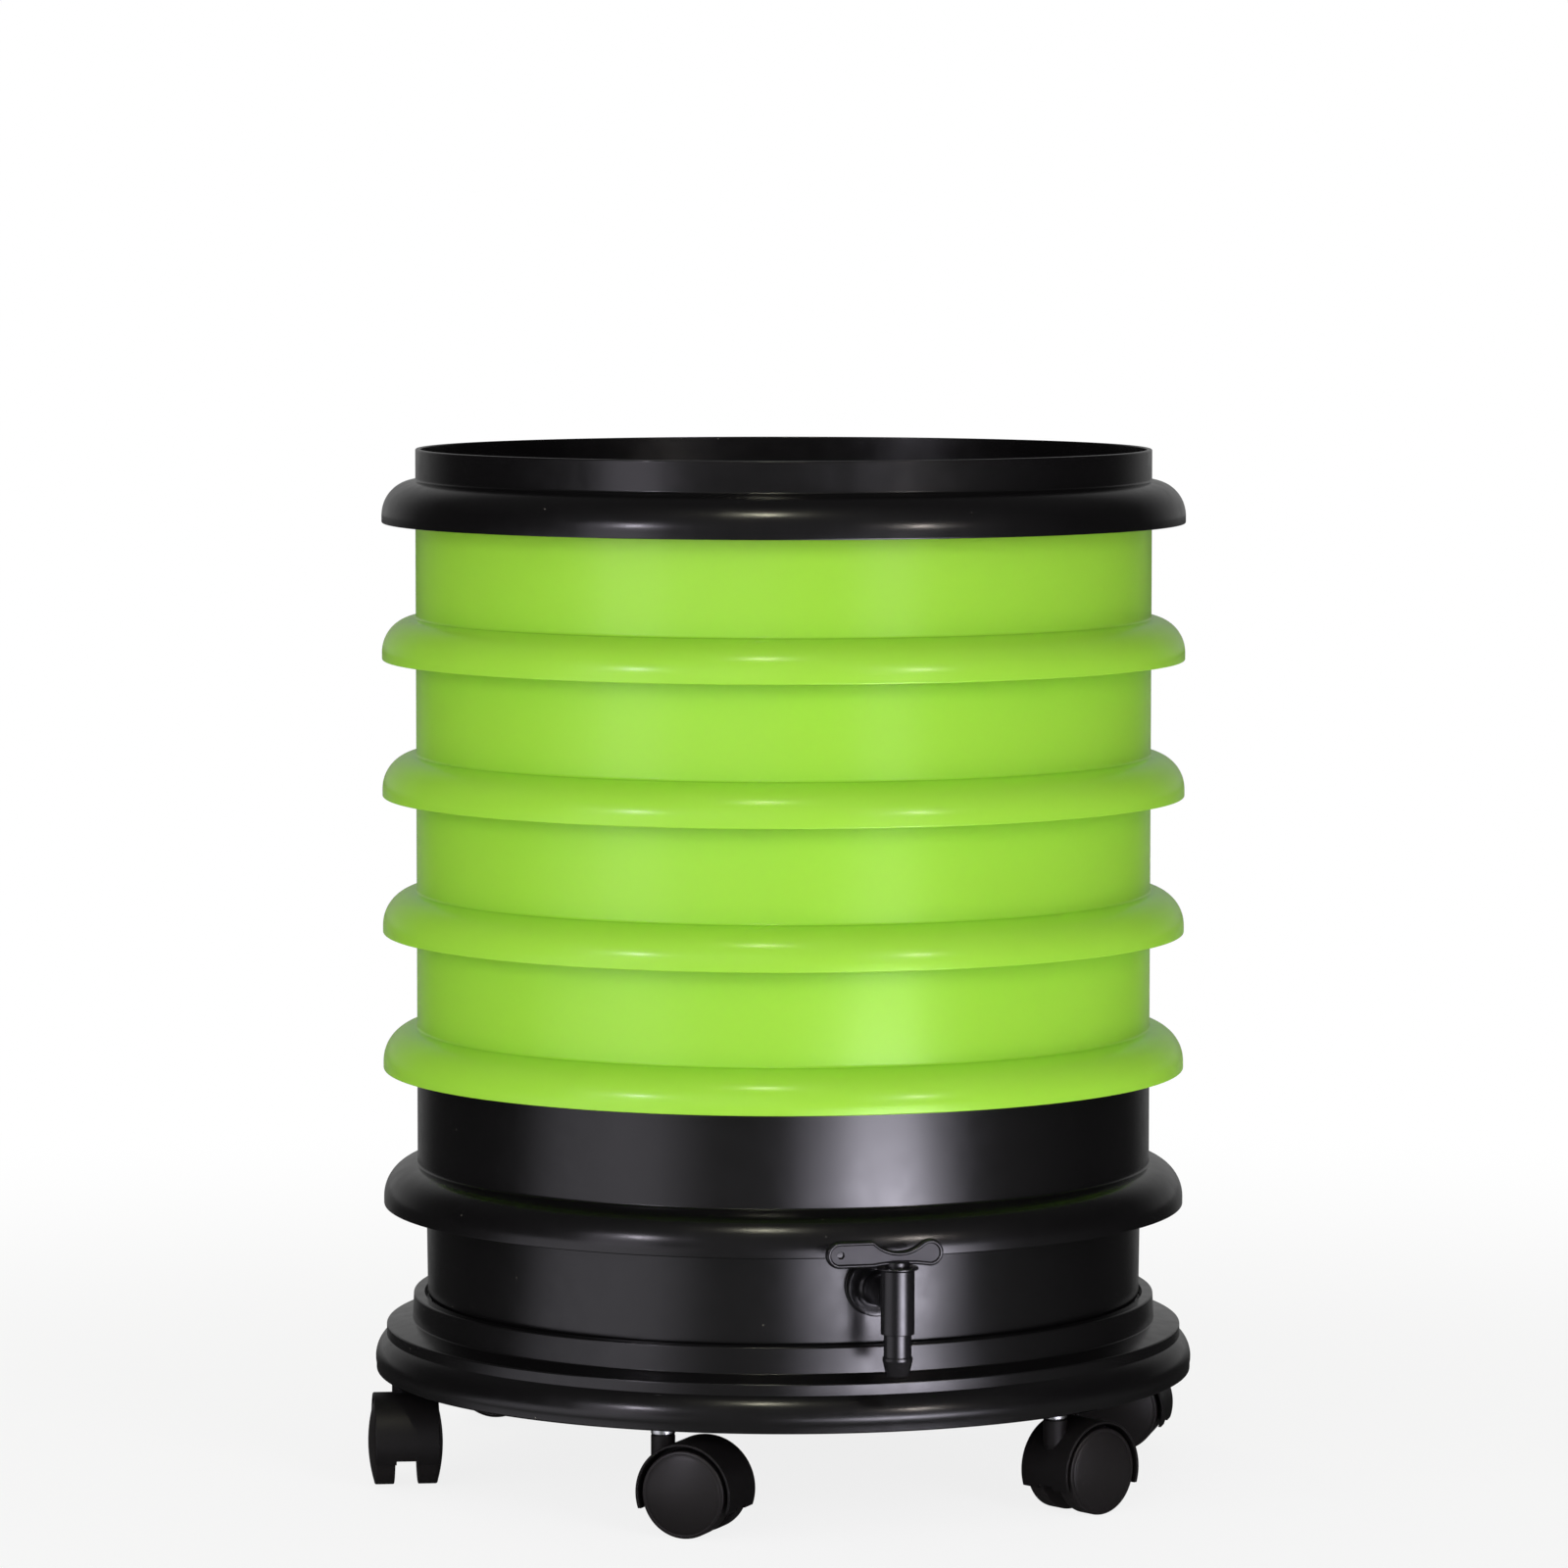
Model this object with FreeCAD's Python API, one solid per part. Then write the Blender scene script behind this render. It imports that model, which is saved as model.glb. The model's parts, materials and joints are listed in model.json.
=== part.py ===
import FreeCAD, Part
import math
import os

# A round wormery: a planter tray, four worm trays and a collector base with a tap,
# stacked on a dolly that rolls on six twin-wheel castors.
# The origin is on the floor, under the middle of the stack. +Z is up and -Y is the front.

# Stack, in millimetres
tray_count = 4
module_pitch = 65.5

# One stacking module: wall above the flange, spigot below it
wall_radius = 176.2
wall_thick = 2.4
spigot_gap = 1.6
spigot_draft = 0.8
flange_height = 20.2
flange_reach = 16.2
flange_thick = 2.4
lip_straight = 3.5
skirt_gap = 2.3
skirt_knee = 10.0
skirt_lean = 1.4
floor_thick = 2.6
tray_drop = 8.0
foot_chamfer = 3.0
planter_upstand = 15.0
base_depth = 47.8
base_foot_round = 6.0

# Openings in the tray floors
slot_width = 6.0
slot_length = 30.0
slot_ring_gap = 12.0
slot_first_radius = 30.0
slot_rings = (8, 12, 18)
drain_side = 8.0
drain_ring_radius = 110.0
drain_count = 12

# Dolly
dolly_lip_straight = 3.0
dolly_skirt_height = 16.8
dolly_skirt_reach = 5.0
dolly_step_height = 5.4
dolly_ledge_width = 11.7
dolly_ledge_rise = 2.4
dolly_collar_width = 5.4
dolly_collar_height = 12.6
dolly_collar_draft = 1.4
dolly_edge = 0.9
dolly_thick = 2.8
seat_recess = 5.0
seat_gap = 1.4
rib_count = 12
rib_thick = 2.5
rib_depth = 10.0
rib_hub_radius = 28.0
rib_overlap = 1.0

# Castors
castor_count = 6
castor_inset = 10.3
castor_first_angle = -17.2
castor_headings = (-22.4, 41.5, 168.0, 130.0, 170.0, -84.0)
castor_trail = 16.1
wheel_radius = 20.25
wheel_tread = 9.2
wheel_dome = 2.8
wheel_edge = 0.8
wheel_dome_shoulder = 12.0
wheel_hub_flat = 4.0
wheel_side_gap = 0.4
axle_radius = 3.0
axle_end_gap = 0.3
web_half_width = 5.3
web_below_axle = 5.8
hood_gap = 1.9
hood_thick = 1.4
hood_width = 30.6
hood_below_axle = 7.6
hood_top_gap = 4.2
boss_radius = 5.6
boss_top_gap = 0.3
boss_round_below = 12.0
collar_radius = 5.6
collar_height = 2.7
stem_radius = 4.0
stem_grip = 16.0
stem_journal = 19.0
socket_wall = 2.3
running_gap = 0.05

# Tap
tap_angle = 14.0
tap_below_lip = 16.0
lever_flange_gap = 1.0
tail_radius = 9.6
tail_length = 24.0
hole_gap = 0.3
pad_radius = 13.8
pad_proud = 1.4
washer_thick = 2.0
washer_radius = 13.0
tap_flange_radius = 13.5
tap_flange_thick = 3.0
nut_flat_radius = 12.0
nut_thick = 6.0
stub_radius = 7.2
inlet_bore = 4.6
barrel_radius = 7.7
barrel_top = 13.6
barrel_bottom = 15.8
spout_radius = 6.3
spout_length = 10.4
barb_radius = 6.9
barb_tip_radius = 5.2
barb_land = 1.5
barb_length = 8.7
outlet_bore = 4.0
plug_radius = 5.9
plug_below_inlet = 10.0
plug_port = 4.2
plug_way = 3.6
lever_disc_radius = 9.5
lever_disc_thick = 1.2
lever_hub_radius = 5.5
lever_web = 3.4
lever_rim = 5.0
lever_border = 1.3
lever_left = 33.6
lever_right = 21.1
lever_height = 12.4
lever_waist = 6.2
lever_waist_rise = 1.0
lever_waist_reach = 11.8
lever_hole_radius = 1.8
lever_hole_inset = 6.6

# Heights above the floor, worked out from the sizes above
axle_height = wheel_radius
hood_inner_radius = wheel_radius + hood_gap
hood_radius = hood_inner_radius + hood_thick
castor_clear = axle_height + hood_radius + hood_top_gap
dolly_step_foot = castor_clear + dolly_skirt_height
dolly_step_top = dolly_step_foot + dolly_step_height
dolly_collar_top = dolly_step_top + dolly_ledge_rise + dolly_collar_height
deck_top = dolly_collar_top - seat_recess
base_lip = deck_top + base_depth
planter_lip = base_lip + (tray_count + 1) * module_pitch
tap_height = base_lip - tap_below_lip
stem_top = castor_clear + stem_grip
stem_collar_foot = castor_clear - collar_height
boss_top = stem_collar_foot - boss_top_gap

# Radii and reaches that follow from them
lip_radius = wall_radius + flange_reach
spigot_radius = wall_radius - wall_thick - spigot_gap
seat_radius = spigot_radius - spigot_draft + seat_gap
dolly_collar_radius = seat_radius + dolly_collar_width
dolly_collar_foot_radius = dolly_collar_radius + dolly_collar_draft
dolly_step_radius = dolly_collar_foot_radius + dolly_ledge_width
dolly_lip_radius = dolly_step_radius + dolly_skirt_reach
castor_circle = dolly_lip_radius - castor_inset
tap_reach = lip_radius + lever_flange_gap + lever_right
wheel_inner_face = web_half_width + wheel_side_gap
wheel_outer_edge = wheel_inner_face + wheel_tread
wheel_outer_face = wheel_outer_edge + wheel_dome

Z_AXIS = FreeCAD.Vector(0, 0, 1)
ORIGIN = FreeCAD.Vector(0, 0, 0)


def flat_point(pair):
    """A point of a turned outline: its radius and its height."""
    return FreeCAD.Vector(pair[0], 0, pair[1])


def outline_face(start, steps):
    """A closed face in the XZ plane. A step is a corner, or (middle, end) of an arc."""
    edges = []
    here = flat_point(start)
    for step in list(steps) + [start]:
        if isinstance(step[0], tuple):
            middle = flat_point(step[0])
            there = flat_point(step[1])
            edges.append(Part.Arc(here, middle, there).toShape())
        else:
            there = flat_point(step)
            edges.append(Part.LineSegment(here, there).toShape())
        here = there
    return Part.Face(Part.Wire(edges))


def turned(start, *steps):
    """A solid turned about the Z axis from an outline of (radius, height) points."""
    solid = outline_face(start, steps).revolve(ORIGIN, Z_AXIS, 360)
    if solid.Volume < 0:
        solid.reverse()
    return solid


def cylinder(radius, low, high, x=0.0, y=0.0):
    """An upright cylinder between two heights."""
    return Part.makeCylinder(radius, high - low, FreeCAD.Vector(x, y, low))


def rod_outward(radius, near, far, height):
    """A cylinder that lies along +X at a height."""
    return Part.makeCylinder(radius, far - near, FreeCAD.Vector(near, 0, height), FreeCAD.Vector(1, 0, 0))


def rod_across(radius, near, far, x, height):
    """A cylinder that lies along +Y, about a line at x and a height."""
    return Part.makeCylinder(radius, far - near, FreeCAD.Vector(x, near, height), FreeCAD.Vector(0, 1, 0))


def box(x0, x1, y0, y1, z0, z1):
    """A box between its low and high corners."""
    return Part.makeBox(x1 - x0, y1 - y0, z1 - z0, FreeCAD.Vector(x0, y0, z0))


def spun(shape, degrees):
    """A copy of a shape turned about the stack's axis."""
    copy = shape.copy()
    copy.rotate(ORIGIN, Z_AXIS, degrees)
    return copy


def polar(radius, degrees_from_front):
    """A place on a circle, counted from the front (-Y) towards +X."""
    angle = math.radians(degrees_from_front)
    return radius * math.sin(angle), -radius * math.cos(angle)


def save(shape, node):
    """Writes one node as a STEP file."""
    shape.exportStep("parts/" + node + ".step")


def flange_arc(lip):
    """The bullnose from the top of the lip's straight face up to the wall."""
    rise = flange_height - lip_straight
    half = math.sqrt(0.5)
    middle = (wall_radius + flange_reach * half, lip + lip_straight + rise * half)
    return middle, (wall_radius, lip + flange_height)


def stacking_module(lip, rim_top, floor_under, foot):
    """A tray: the wall stands on a hollow flange, and the spigot hangs inside the module below."""
    root = lip + flange_height
    seat = root - flange_thick
    spigot_foot = spigot_radius - spigot_draft
    floor_top = floor_under + floor_thick
    inner_wall = wall_radius - wall_thick
    lip_inside = lip_radius - flange_thick
    return turned(
        (0, floor_under),
        *foot,
        (spigot_radius, seat),
        (wall_radius + skirt_gap, seat),
        (lip_inside - skirt_lean, lip + skirt_knee),
        (lip_inside, lip),
        (lip_radius, lip),
        (lip_radius, lip + lip_straight),
        flange_arc(lip),
        (wall_radius, rim_top),
        (inner_wall, rim_top),
        (inner_wall, root),
        (spigot_radius - wall_thick, root),
        (spigot_foot - wall_thick, floor_top),
        (0, floor_top),
    )


def chamfered_foot(floor_under):
    """The plain lower corner of a tray's spigot."""
    spigot_foot = spigot_radius - spigot_draft
    return (spigot_foot - foot_chamfer, floor_under), (spigot_foot, floor_under + foot_chamfer)


def rounded_foot(floor_under):
    """The rounded lower corner of the collector's tub, which shows above the dolly."""
    spigot_foot = spigot_radius - spigot_draft
    inset = base_foot_round * (1 - math.sqrt(0.5))
    middle = (spigot_foot - inset, floor_under + inset)
    end = (spigot_foot, floor_under + base_foot_round)
    return (spigot_foot - base_foot_round, floor_under), (middle, end)


def floor_slots(floor_under):
    """Radial slots in rings, where worms climb and liquid drains."""
    slots = []
    low = floor_under - floor_thick
    high = floor_under + 2 * floor_thick
    inner = slot_first_radius
    for count in slot_rings:
        slot = box(inner, inner + slot_length, -slot_width / 2, slot_width / 2, low, high)
        for index in range(count):
            slots.append(spun(slot, 360.0 * index / count))
        inner += slot_length + slot_ring_gap
    return Part.makeCompound(slots)


def floor_drains(floor_under):
    """Square drain holes in one ring and one in the middle."""
    half = drain_side / 2
    low = floor_under - floor_thick
    high = floor_under + 2 * floor_thick
    drains = [box(-half, half, -half, half, low, high)]
    hole = box(drain_ring_radius - half, drain_ring_radius + half, -half, half, low, high)
    for index in range(drain_count):
        drains.append(spun(hole, 360.0 * index / drain_count))
    return Part.makeCompound(drains)


def rim_over(lip):
    """The height at which a module's rim meets the seat of the module above."""
    return lip + module_pitch + flange_height - flange_thick


def build_planter():
    """The planter tray on top, a shallow module with drain holes."""
    floor_under = planter_lip - tray_drop
    rim_top = planter_lip + flange_height + planter_upstand
    tray = stacking_module(planter_lip, rim_top, floor_under, chamfered_foot(floor_under))
    save(tray.cut(floor_drains(floor_under)), "planter_tray")


def build_worm_trays():
    """The worm trays, numbered from the top."""
    for number in range(1, tray_count + 1):
        lip = planter_lip - number * module_pitch
        floor_under = lip - tray_drop
        tray = stacking_module(lip, rim_over(lip), floor_under, chamfered_foot(floor_under))
        save(tray.cut(floor_slots(floor_under)), "worm_tray_" + str(number))


def tub_outside():
    """The tub wall's outer radius at the height of the tap."""
    seat = base_lip + flange_height - flange_thick
    foot = deck_top + base_foot_round
    share = (seat - tap_height) / (seat - foot)
    return spigot_radius - spigot_draft * share


def pad_faces():
    """How far out the tap pad's inner and outer flat faces lie."""
    outside = tub_outside()
    return outside - wall_thick - pad_proud, outside + pad_proud


def build_collector_base():
    """The collector: a module with a closed floor and a flat pad for the tap."""
    tub = stacking_module(base_lip, rim_over(base_lip), deck_top, rounded_foot(deck_top))
    pad_in, pad_out = pad_faces()
    pad = rod_outward(pad_radius, pad_in, pad_out, tap_height)
    hole = rod_outward(tail_radius + hole_gap, pad_in - wall_thick, pad_out + wall_thick, tap_height)
    turn = tap_angle - 90
    save(tub.fuse(spun(pad, turn)).cut(spun(hole, turn)).removeSplitter(), "collector_base")


def dolly_outline():
    """The dolly's outer corners, from the lip up to the seat for the tub."""
    collar_foot = dolly_step_top + dolly_ledge_rise
    half = math.sqrt(0.5)
    skirt_low = castor_clear + dolly_lip_straight
    skirt_rise = dolly_step_foot - skirt_low
    skirt_middle = (dolly_step_radius + dolly_skirt_reach * half, skirt_low + skirt_rise * half)
    return (
        (dolly_lip_radius, skirt_low),
        (skirt_middle, (dolly_step_radius, dolly_step_foot)),
        (dolly_step_radius, dolly_step_top - dolly_edge),
        (dolly_step_radius - dolly_edge, dolly_step_top),
        (dolly_collar_foot_radius, collar_foot),
        (dolly_collar_radius, dolly_collar_top - dolly_edge),
        (dolly_collar_radius - dolly_edge, dolly_collar_top),
    )


def dolly_skin():
    """The dolly's moulded shell: deck, collar, ledge and skirt."""
    step_inside = dolly_step_radius - dolly_thick
    lip_inside = dolly_lip_radius - dolly_thick
    collar_inside = dolly_collar_foot_radius - dolly_thick
    ledge_under = dolly_step_top - dolly_thick
    return turned(
        (0, deck_top - dolly_thick),
        (collar_inside, deck_top - dolly_thick),
        (collar_inside, ledge_under + dolly_ledge_rise),
        (step_inside, ledge_under),
        (step_inside, dolly_step_foot),
        (lip_inside, castor_clear + dolly_lip_straight + dolly_thick),
        (lip_inside, castor_clear),
        (dolly_lip_radius, castor_clear),
        *dolly_outline(),
        (seat_radius, dolly_collar_top),
        (seat_radius, deck_top),
        (0, deck_top),
    )


def dolly_envelope():
    """Everything under the dolly's outer face, which trims the ribs and sockets."""
    return turned(
        (0, castor_clear),
        (dolly_lip_radius, castor_clear),
        *dolly_outline(),
        (0, dolly_collar_top),
    )


def castor_places():
    """The castors' swivel axes, as x, y."""
    step = 360.0 / castor_count
    return [polar(castor_circle, castor_first_angle + step * k) for k in range(castor_count)]


def build_dolly():
    """The dolly, with ribs under its deck and a socket for each castor."""
    deck_under = deck_top - dolly_thick
    rib_foot = deck_under - rib_depth
    rib_top = deck_under + rib_overlap
    inside = [cylinder(rib_hub_radius, rib_foot, rib_top).cut(
        cylinder(rib_hub_radius - rib_thick, rib_foot, rib_top))]
    rib = box(rib_hub_radius - rib_thick / 2, dolly_lip_radius - dolly_thick / 2,
              -rib_thick / 2, rib_thick / 2, rib_foot, rib_top)
    rib_step = 360.0 / rib_count
    for index in range(rib_count):
        inside.append(spun(rib, castor_first_angle - 90 + rib_step * (index + 0.5)))
    sockets = []
    for x, y in castor_places():
        outer = stem_radius + socket_wall
        inside.append(cylinder(outer, castor_clear, dolly_step_top, x, y))
        bore_top = stem_top + boss_top_gap
        sockets.append(cylinder(stem_radius + running_gap, castor_clear - 1, bore_top, x, y))
    frame = inside[0].multiFuse(inside[1:]).common(dolly_envelope())
    dolly = dolly_skin().fuse(frame).cut(Part.makeCompound(sockets))
    save(dolly.removeSplitter(), "castor_dolly")


def stem_shape():
    """A castor's steel stem: a grip pin, a collar under the dolly and a swivel journal."""
    return turned(
        (0, boss_top - stem_journal),
        (stem_radius, boss_top - stem_journal),
        (stem_radius, stem_collar_foot),
        (collar_radius, stem_collar_foot),
        (collar_radius, castor_clear),
        (stem_radius, castor_clear),
        (stem_radius, stem_top),
        (0, stem_top),
    )


def build_stems():
    """The six pressed-in stems, alike, in one node."""
    stems = []
    for x, y in castor_places():
        stem = stem_shape()
        stem.translate(FreeCAD.Vector(x, y, 0))
        stems.append(stem)
    save(Part.makeCompound(stems), "castor_stems")


def hood_shape():
    """The castor's hood: a half shell over both wheels, a web between them and the swivel boss."""
    half = hood_width / 2
    centre = castor_trail
    outer = rod_across(hood_radius, -half, half, centre, axle_height)
    inner = rod_across(hood_inner_radius, -hood_width, hood_width, centre, axle_height)
    reach = 2 * hood_radius
    below_shell = box(centre - reach, centre + reach, -half, half, -reach, axle_height - hood_below_axle)
    below_web = box(centre - reach, centre + reach, -web_half_width, web_half_width,
                    -reach, axle_height - web_below_axle)
    shell = outer.cut(inner).cut(below_shell).cut(below_web)
    web_radius = hood_inner_radius + hood_thick / 2
    web = rod_across(web_radius, -web_half_width, web_half_width, centre, axle_height).cut(below_web)
    round_foot = boss_top - boss_round_below
    boss = cylinder(boss_radius, round_foot, boss_top)
    boss_foot = boss_top - stem_journal - hood_thick
    flat_boss = cylinder(boss_radius, boss_foot, round_foot + hood_thick).common(
        box(-boss_radius, boss_radius, -web_half_width, web_half_width, boss_foot, boss_top))
    bore = cylinder(stem_radius + running_gap, boss_top - stem_journal - boss_top_gap, boss_top + 1)
    axle_bore = rod_across(axle_radius + running_gap, -half, half, centre, axle_height)
    return shell.multiFuse([web, boss, flat_boss]).cut(bore).cut(axle_bore).removeSplitter()


def wheel_shape():
    """One wheel of a twin, its axle line upright: tread, low-domed face and a blind bore."""
    bore = axle_radius + running_gap
    bore_end = wheel_outer_edge - wheel_edge
    face_radius = wheel_radius - wheel_edge
    rise_share = 1 - (wheel_dome_shoulder / face_radius) ** 2
    shoulder_height = wheel_outer_edge + wheel_dome * rise_share
    return turned(
        (0, bore_end),
        (bore, bore_end),
        (bore, wheel_inner_face),
        (wheel_radius, wheel_inner_face),
        (wheel_radius, wheel_outer_edge - wheel_edge),
        (face_radius, wheel_outer_edge),
        (wheel_dome_shoulder, shoulder_height),
        (wheel_hub_flat, wheel_outer_face),
        (0, wheel_outer_face),
    )


def axle_shape():
    """The steel axle that both wheels of a castor turn on."""
    reach = wheel_outer_edge - wheel_edge - axle_end_gap
    return rod_across(axle_radius, -reach, reach, castor_trail, axle_height)


def place_castor(shape, index):
    """Moves a castor's piece from its own frame to its socket and its heading."""
    placed = spun(shape, castor_headings[index % len(castor_headings)])
    x, y = castor_places()[index]
    placed.translate(FreeCAD.Vector(x, y, 0))
    return placed


def build_castors():
    """Hood, axle and two wheels for each castor."""
    hub = FreeCAD.Vector(castor_trail, 0, axle_height)
    x_axis = FreeCAD.Vector(1, 0, 0)
    wheel_left = wheel_shape()
    wheel_left.rotate(ORIGIN, x_axis, -90)
    wheel_left.translate(hub)
    wheel_right = wheel_shape()
    wheel_right.rotate(ORIGIN, x_axis, 90)
    wheel_right.translate(hub)
    pieces = {
        "castor_hood_": hood_shape(),
        "castor_axle_": axle_shape(),
        "castor_wheel_left_": wheel_left,
        "castor_wheel_right_": wheel_right,
    }
    for index in range(castor_count):
        for name, shape in pieces.items():
            save(place_castor(shape, index), name + str(index + 1))


def tap_frame():
    """Distances out from the stack's axis to the tap's faces, from the nut outwards."""
    pad_in, pad_out = pad_faces()
    flange_in = pad_out + washer_thick
    return {
        "nut_in": pad_in - washer_thick - nut_thick,
        "nut_out": pad_in - washer_thick,
        "pad_in": pad_in,
        "pad_out": pad_out,
        "flange_in": flange_in,
        "flange_out": flange_in + tap_flange_thick,
    }


def build_tap_body():
    """The tap's body: threaded tail, flange, inlet stub, upright barrel and barbed spout."""
    faces = tap_frame()
    tail = rod_outward(tail_radius, faces["flange_in"] - tail_length, faces["flange_in"], tap_height)
    flange = rod_outward(tap_flange_radius, faces["flange_in"], faces["flange_out"], tap_height)
    stub = rod_outward(stub_radius, faces["flange_in"], tap_reach, tap_height)
    barrel_foot = tap_height - barrel_bottom
    barb_top = barrel_foot - spout_length
    barb_foot = barb_top - barb_length
    upright = turned(
        (0, barb_foot),
        (barb_tip_radius, barb_foot),
        (barb_radius, barb_top - barb_land),
        (barb_radius, barb_top),
        (spout_radius, barb_top),
        (spout_radius, barrel_foot),
        (barrel_radius, barrel_foot),
        (barrel_radius, tap_height + barrel_top),
        (0, tap_height + barrel_top),
    )
    upright.translate(FreeCAD.Vector(tap_reach, 0, 0))
    inlet = rod_outward(inlet_bore, faces["flange_in"] - tail_length - 1, tap_reach, tap_height)
    plug_foot = tap_height - plug_below_inlet - running_gap
    seat = cylinder(plug_radius + running_gap, plug_foot, tap_height + barrel_top + 1, tap_reach)
    outlet = cylinder(outlet_bore, barb_foot - 1, plug_foot + 1, tap_reach)
    body = tail.multiFuse([flange, stub, upright]).cut(inlet).cut(seat).cut(outlet)
    save(spun(body.removeSplitter(), tap_angle - 90), "tap_body")


def lever_outline(inset):
    """The lever's flat outline, bone-shaped, in the plane across the tap; inset draws it in."""
    foot = tap_height + barrel_top + boss_top_gap + lever_disc_thick
    end = lever_height / 2
    middle = foot + end
    low = foot + inset
    high = foot + lever_height - inset
    left = end - lever_left
    right = lever_right - end
    lobe = end - inset
    slant = lobe * math.sqrt(0.5)
    waist_foot = foot + lever_waist_rise + inset
    waist_top = foot + lever_waist_rise + lever_waist - inset
    corners = [
        ((left, low), None),
        ((-lever_waist_reach, low), None),
        ((right, low), (0.0, waist_foot)),
        ((right - slant, middle + slant), (right + lobe, middle)),
        ((-lever_waist_reach, high), (0.0, waist_top)),
        ((left, high), None),
        ((left, low), (left - lobe, middle)),
    ]
    edges = []
    for (here, _), (there, through) in zip(corners, corners[1:]):
        start = FreeCAD.Vector(0, here[0], here[1])
        stop = FreeCAD.Vector(0, there[0], there[1])
        if through is None:
            edges.append(Part.LineSegment(start, stop).toShape())
        else:
            via = FreeCAD.Vector(0, through[0], through[1])
            edges.append(Part.Arc(start, via, stop).toShape())
    return Part.Face(Part.Wire(edges))


def lever_plate(inset, thick):
    """A plate of the lever's outline, centred on the tap's upright axis."""
    plate = lever_outline(inset).extrude(FreeCAD.Vector(thick, 0, 0))
    plate.translate(FreeCAD.Vector(tap_reach - thick / 2, 0, 0))
    return plate


def build_tap_lever():
    """The plug with its port and the finger lever on top, one moulding."""
    top = tap_height + barrel_top
    foot = tap_height - plug_below_inlet
    disc_foot = top + boss_top_gap
    disc_top = disc_foot + lever_disc_thick
    plug = cylinder(plug_radius, foot, disc_foot, tap_reach)
    disc = cylinder(lever_disc_radius, disc_foot, disc_top, tap_reach)
    hub = cylinder(lever_hub_radius, disc_top, disc_top + 2 * lever_disc_thick, tap_reach)
    pocket = lever_plate(lever_border, 2 * lever_rim).cut(lever_plate(lever_border, lever_web))
    fin = lever_plate(0.0, lever_rim).cut(pocket)
    hang_hole = rod_outward(lever_hole_radius, tap_reach - lever_rim, tap_reach + lever_rim,
                            disc_top + lever_height / 2)
    hang_hole.translate(FreeCAD.Vector(0, lever_hole_inset - lever_left, 0))
    port = rod_across(plug_port, 0, 2 * plug_radius, tap_reach, tap_height)
    way = cylinder(plug_way, foot - 1, tap_height, tap_reach)
    lever = plug.multiFuse([disc, hub, fin]).cut(hang_hole).cut(port).cut(way)
    save(spun(lever.removeSplitter(), tap_angle - 90), "tap_lever")


def ring_outward(outer, inner, near, far):
    """A flat ring about the tap's inlet line."""
    ring = rod_outward(outer, near, far, tap_height)
    return ring.cut(rod_outward(inner, near - 1, far + 1, tap_height))


def build_tap_seals_and_nut():
    """Two rubber washers and the hexagonal nut that clamp the tub's wall."""
    faces = tap_frame()
    washer_bore = tail_radius + hole_gap
    outer = ring_outward(washer_radius, washer_bore, faces["pad_out"], faces["flange_in"])
    inner = ring_outward(washer_radius, washer_bore, faces["nut_out"], faces["pad_in"])
    save(spun(outer, tap_angle - 90), "tap_outer_washer")
    save(spun(inner, tap_angle - 90), "tap_inner_washer")
    corners = []
    nut_radius = nut_flat_radius / math.cos(math.pi / 6)
    for index in range(7):
        angle = math.pi / 3 * index
        corners.append(FreeCAD.Vector(faces["nut_in"], nut_radius * math.cos(angle),
                                      tap_height + nut_radius * math.sin(angle)))
    hexagon = Part.Face(Part.makePolygon(corners))
    nut = hexagon.extrude(FreeCAD.Vector(nut_thick, 0, 0))
    thread = rod_outward(tail_radius + running_gap, faces["nut_in"] - 1, faces["nut_out"] + 1, tap_height)
    save(spun(nut.cut(thread), tap_angle - 90), "tap_back_nut")


os.makedirs("parts", exist_ok=True)
build_planter()
build_worm_trays()
build_collector_base()
build_tap_body()
build_tap_lever()
build_tap_seals_and_nut()
build_dolly()
build_stems()
build_castors()
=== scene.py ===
# %% [markdown]
# # A stacking wormery on castors
#
# A wormery is a stack of trays in which worms turn kitchen scraps into compost. This one has a
# black planter tray on top, four lime green worm trays, a black collector with a tap, and a
# black dolly on six twin-wheel castors.
#
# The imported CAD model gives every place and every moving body. This lesson dresses it: it models
# the visible pieces again with rounded edges and finer steps, and gives each its own plastic.

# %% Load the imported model
import json
import math

import bmesh
import bpy
from mathutils import Matrix, Vector
from mathutils.geometry import tessellate_polygon


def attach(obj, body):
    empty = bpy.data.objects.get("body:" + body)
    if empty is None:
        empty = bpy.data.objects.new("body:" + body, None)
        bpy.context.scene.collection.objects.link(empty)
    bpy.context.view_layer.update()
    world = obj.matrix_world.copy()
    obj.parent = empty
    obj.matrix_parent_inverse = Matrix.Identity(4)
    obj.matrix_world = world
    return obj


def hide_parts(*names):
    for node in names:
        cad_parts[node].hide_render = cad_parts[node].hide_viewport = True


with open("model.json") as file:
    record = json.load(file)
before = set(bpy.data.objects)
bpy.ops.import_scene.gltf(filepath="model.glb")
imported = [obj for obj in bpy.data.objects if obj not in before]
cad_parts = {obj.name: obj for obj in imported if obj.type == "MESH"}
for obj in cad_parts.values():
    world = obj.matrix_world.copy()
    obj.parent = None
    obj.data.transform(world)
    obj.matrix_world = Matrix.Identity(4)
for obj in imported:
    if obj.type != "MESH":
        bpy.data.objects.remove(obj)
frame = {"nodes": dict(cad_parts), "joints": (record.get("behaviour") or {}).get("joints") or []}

scene = bpy.context.scene
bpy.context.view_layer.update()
joints = {joint["name"]: joint for joint in frame["joints"]}

# %% [markdown]
# ## The camera
#
# The photograph was taken from about 3.3 metres in front, a little above the planter, with a long
# lens. A long lens from far away keeps the rings nearly flat, as they are in a product picture.
# The numbers come from fitting the circles of the rings to their outlines in the photograph.

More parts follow.
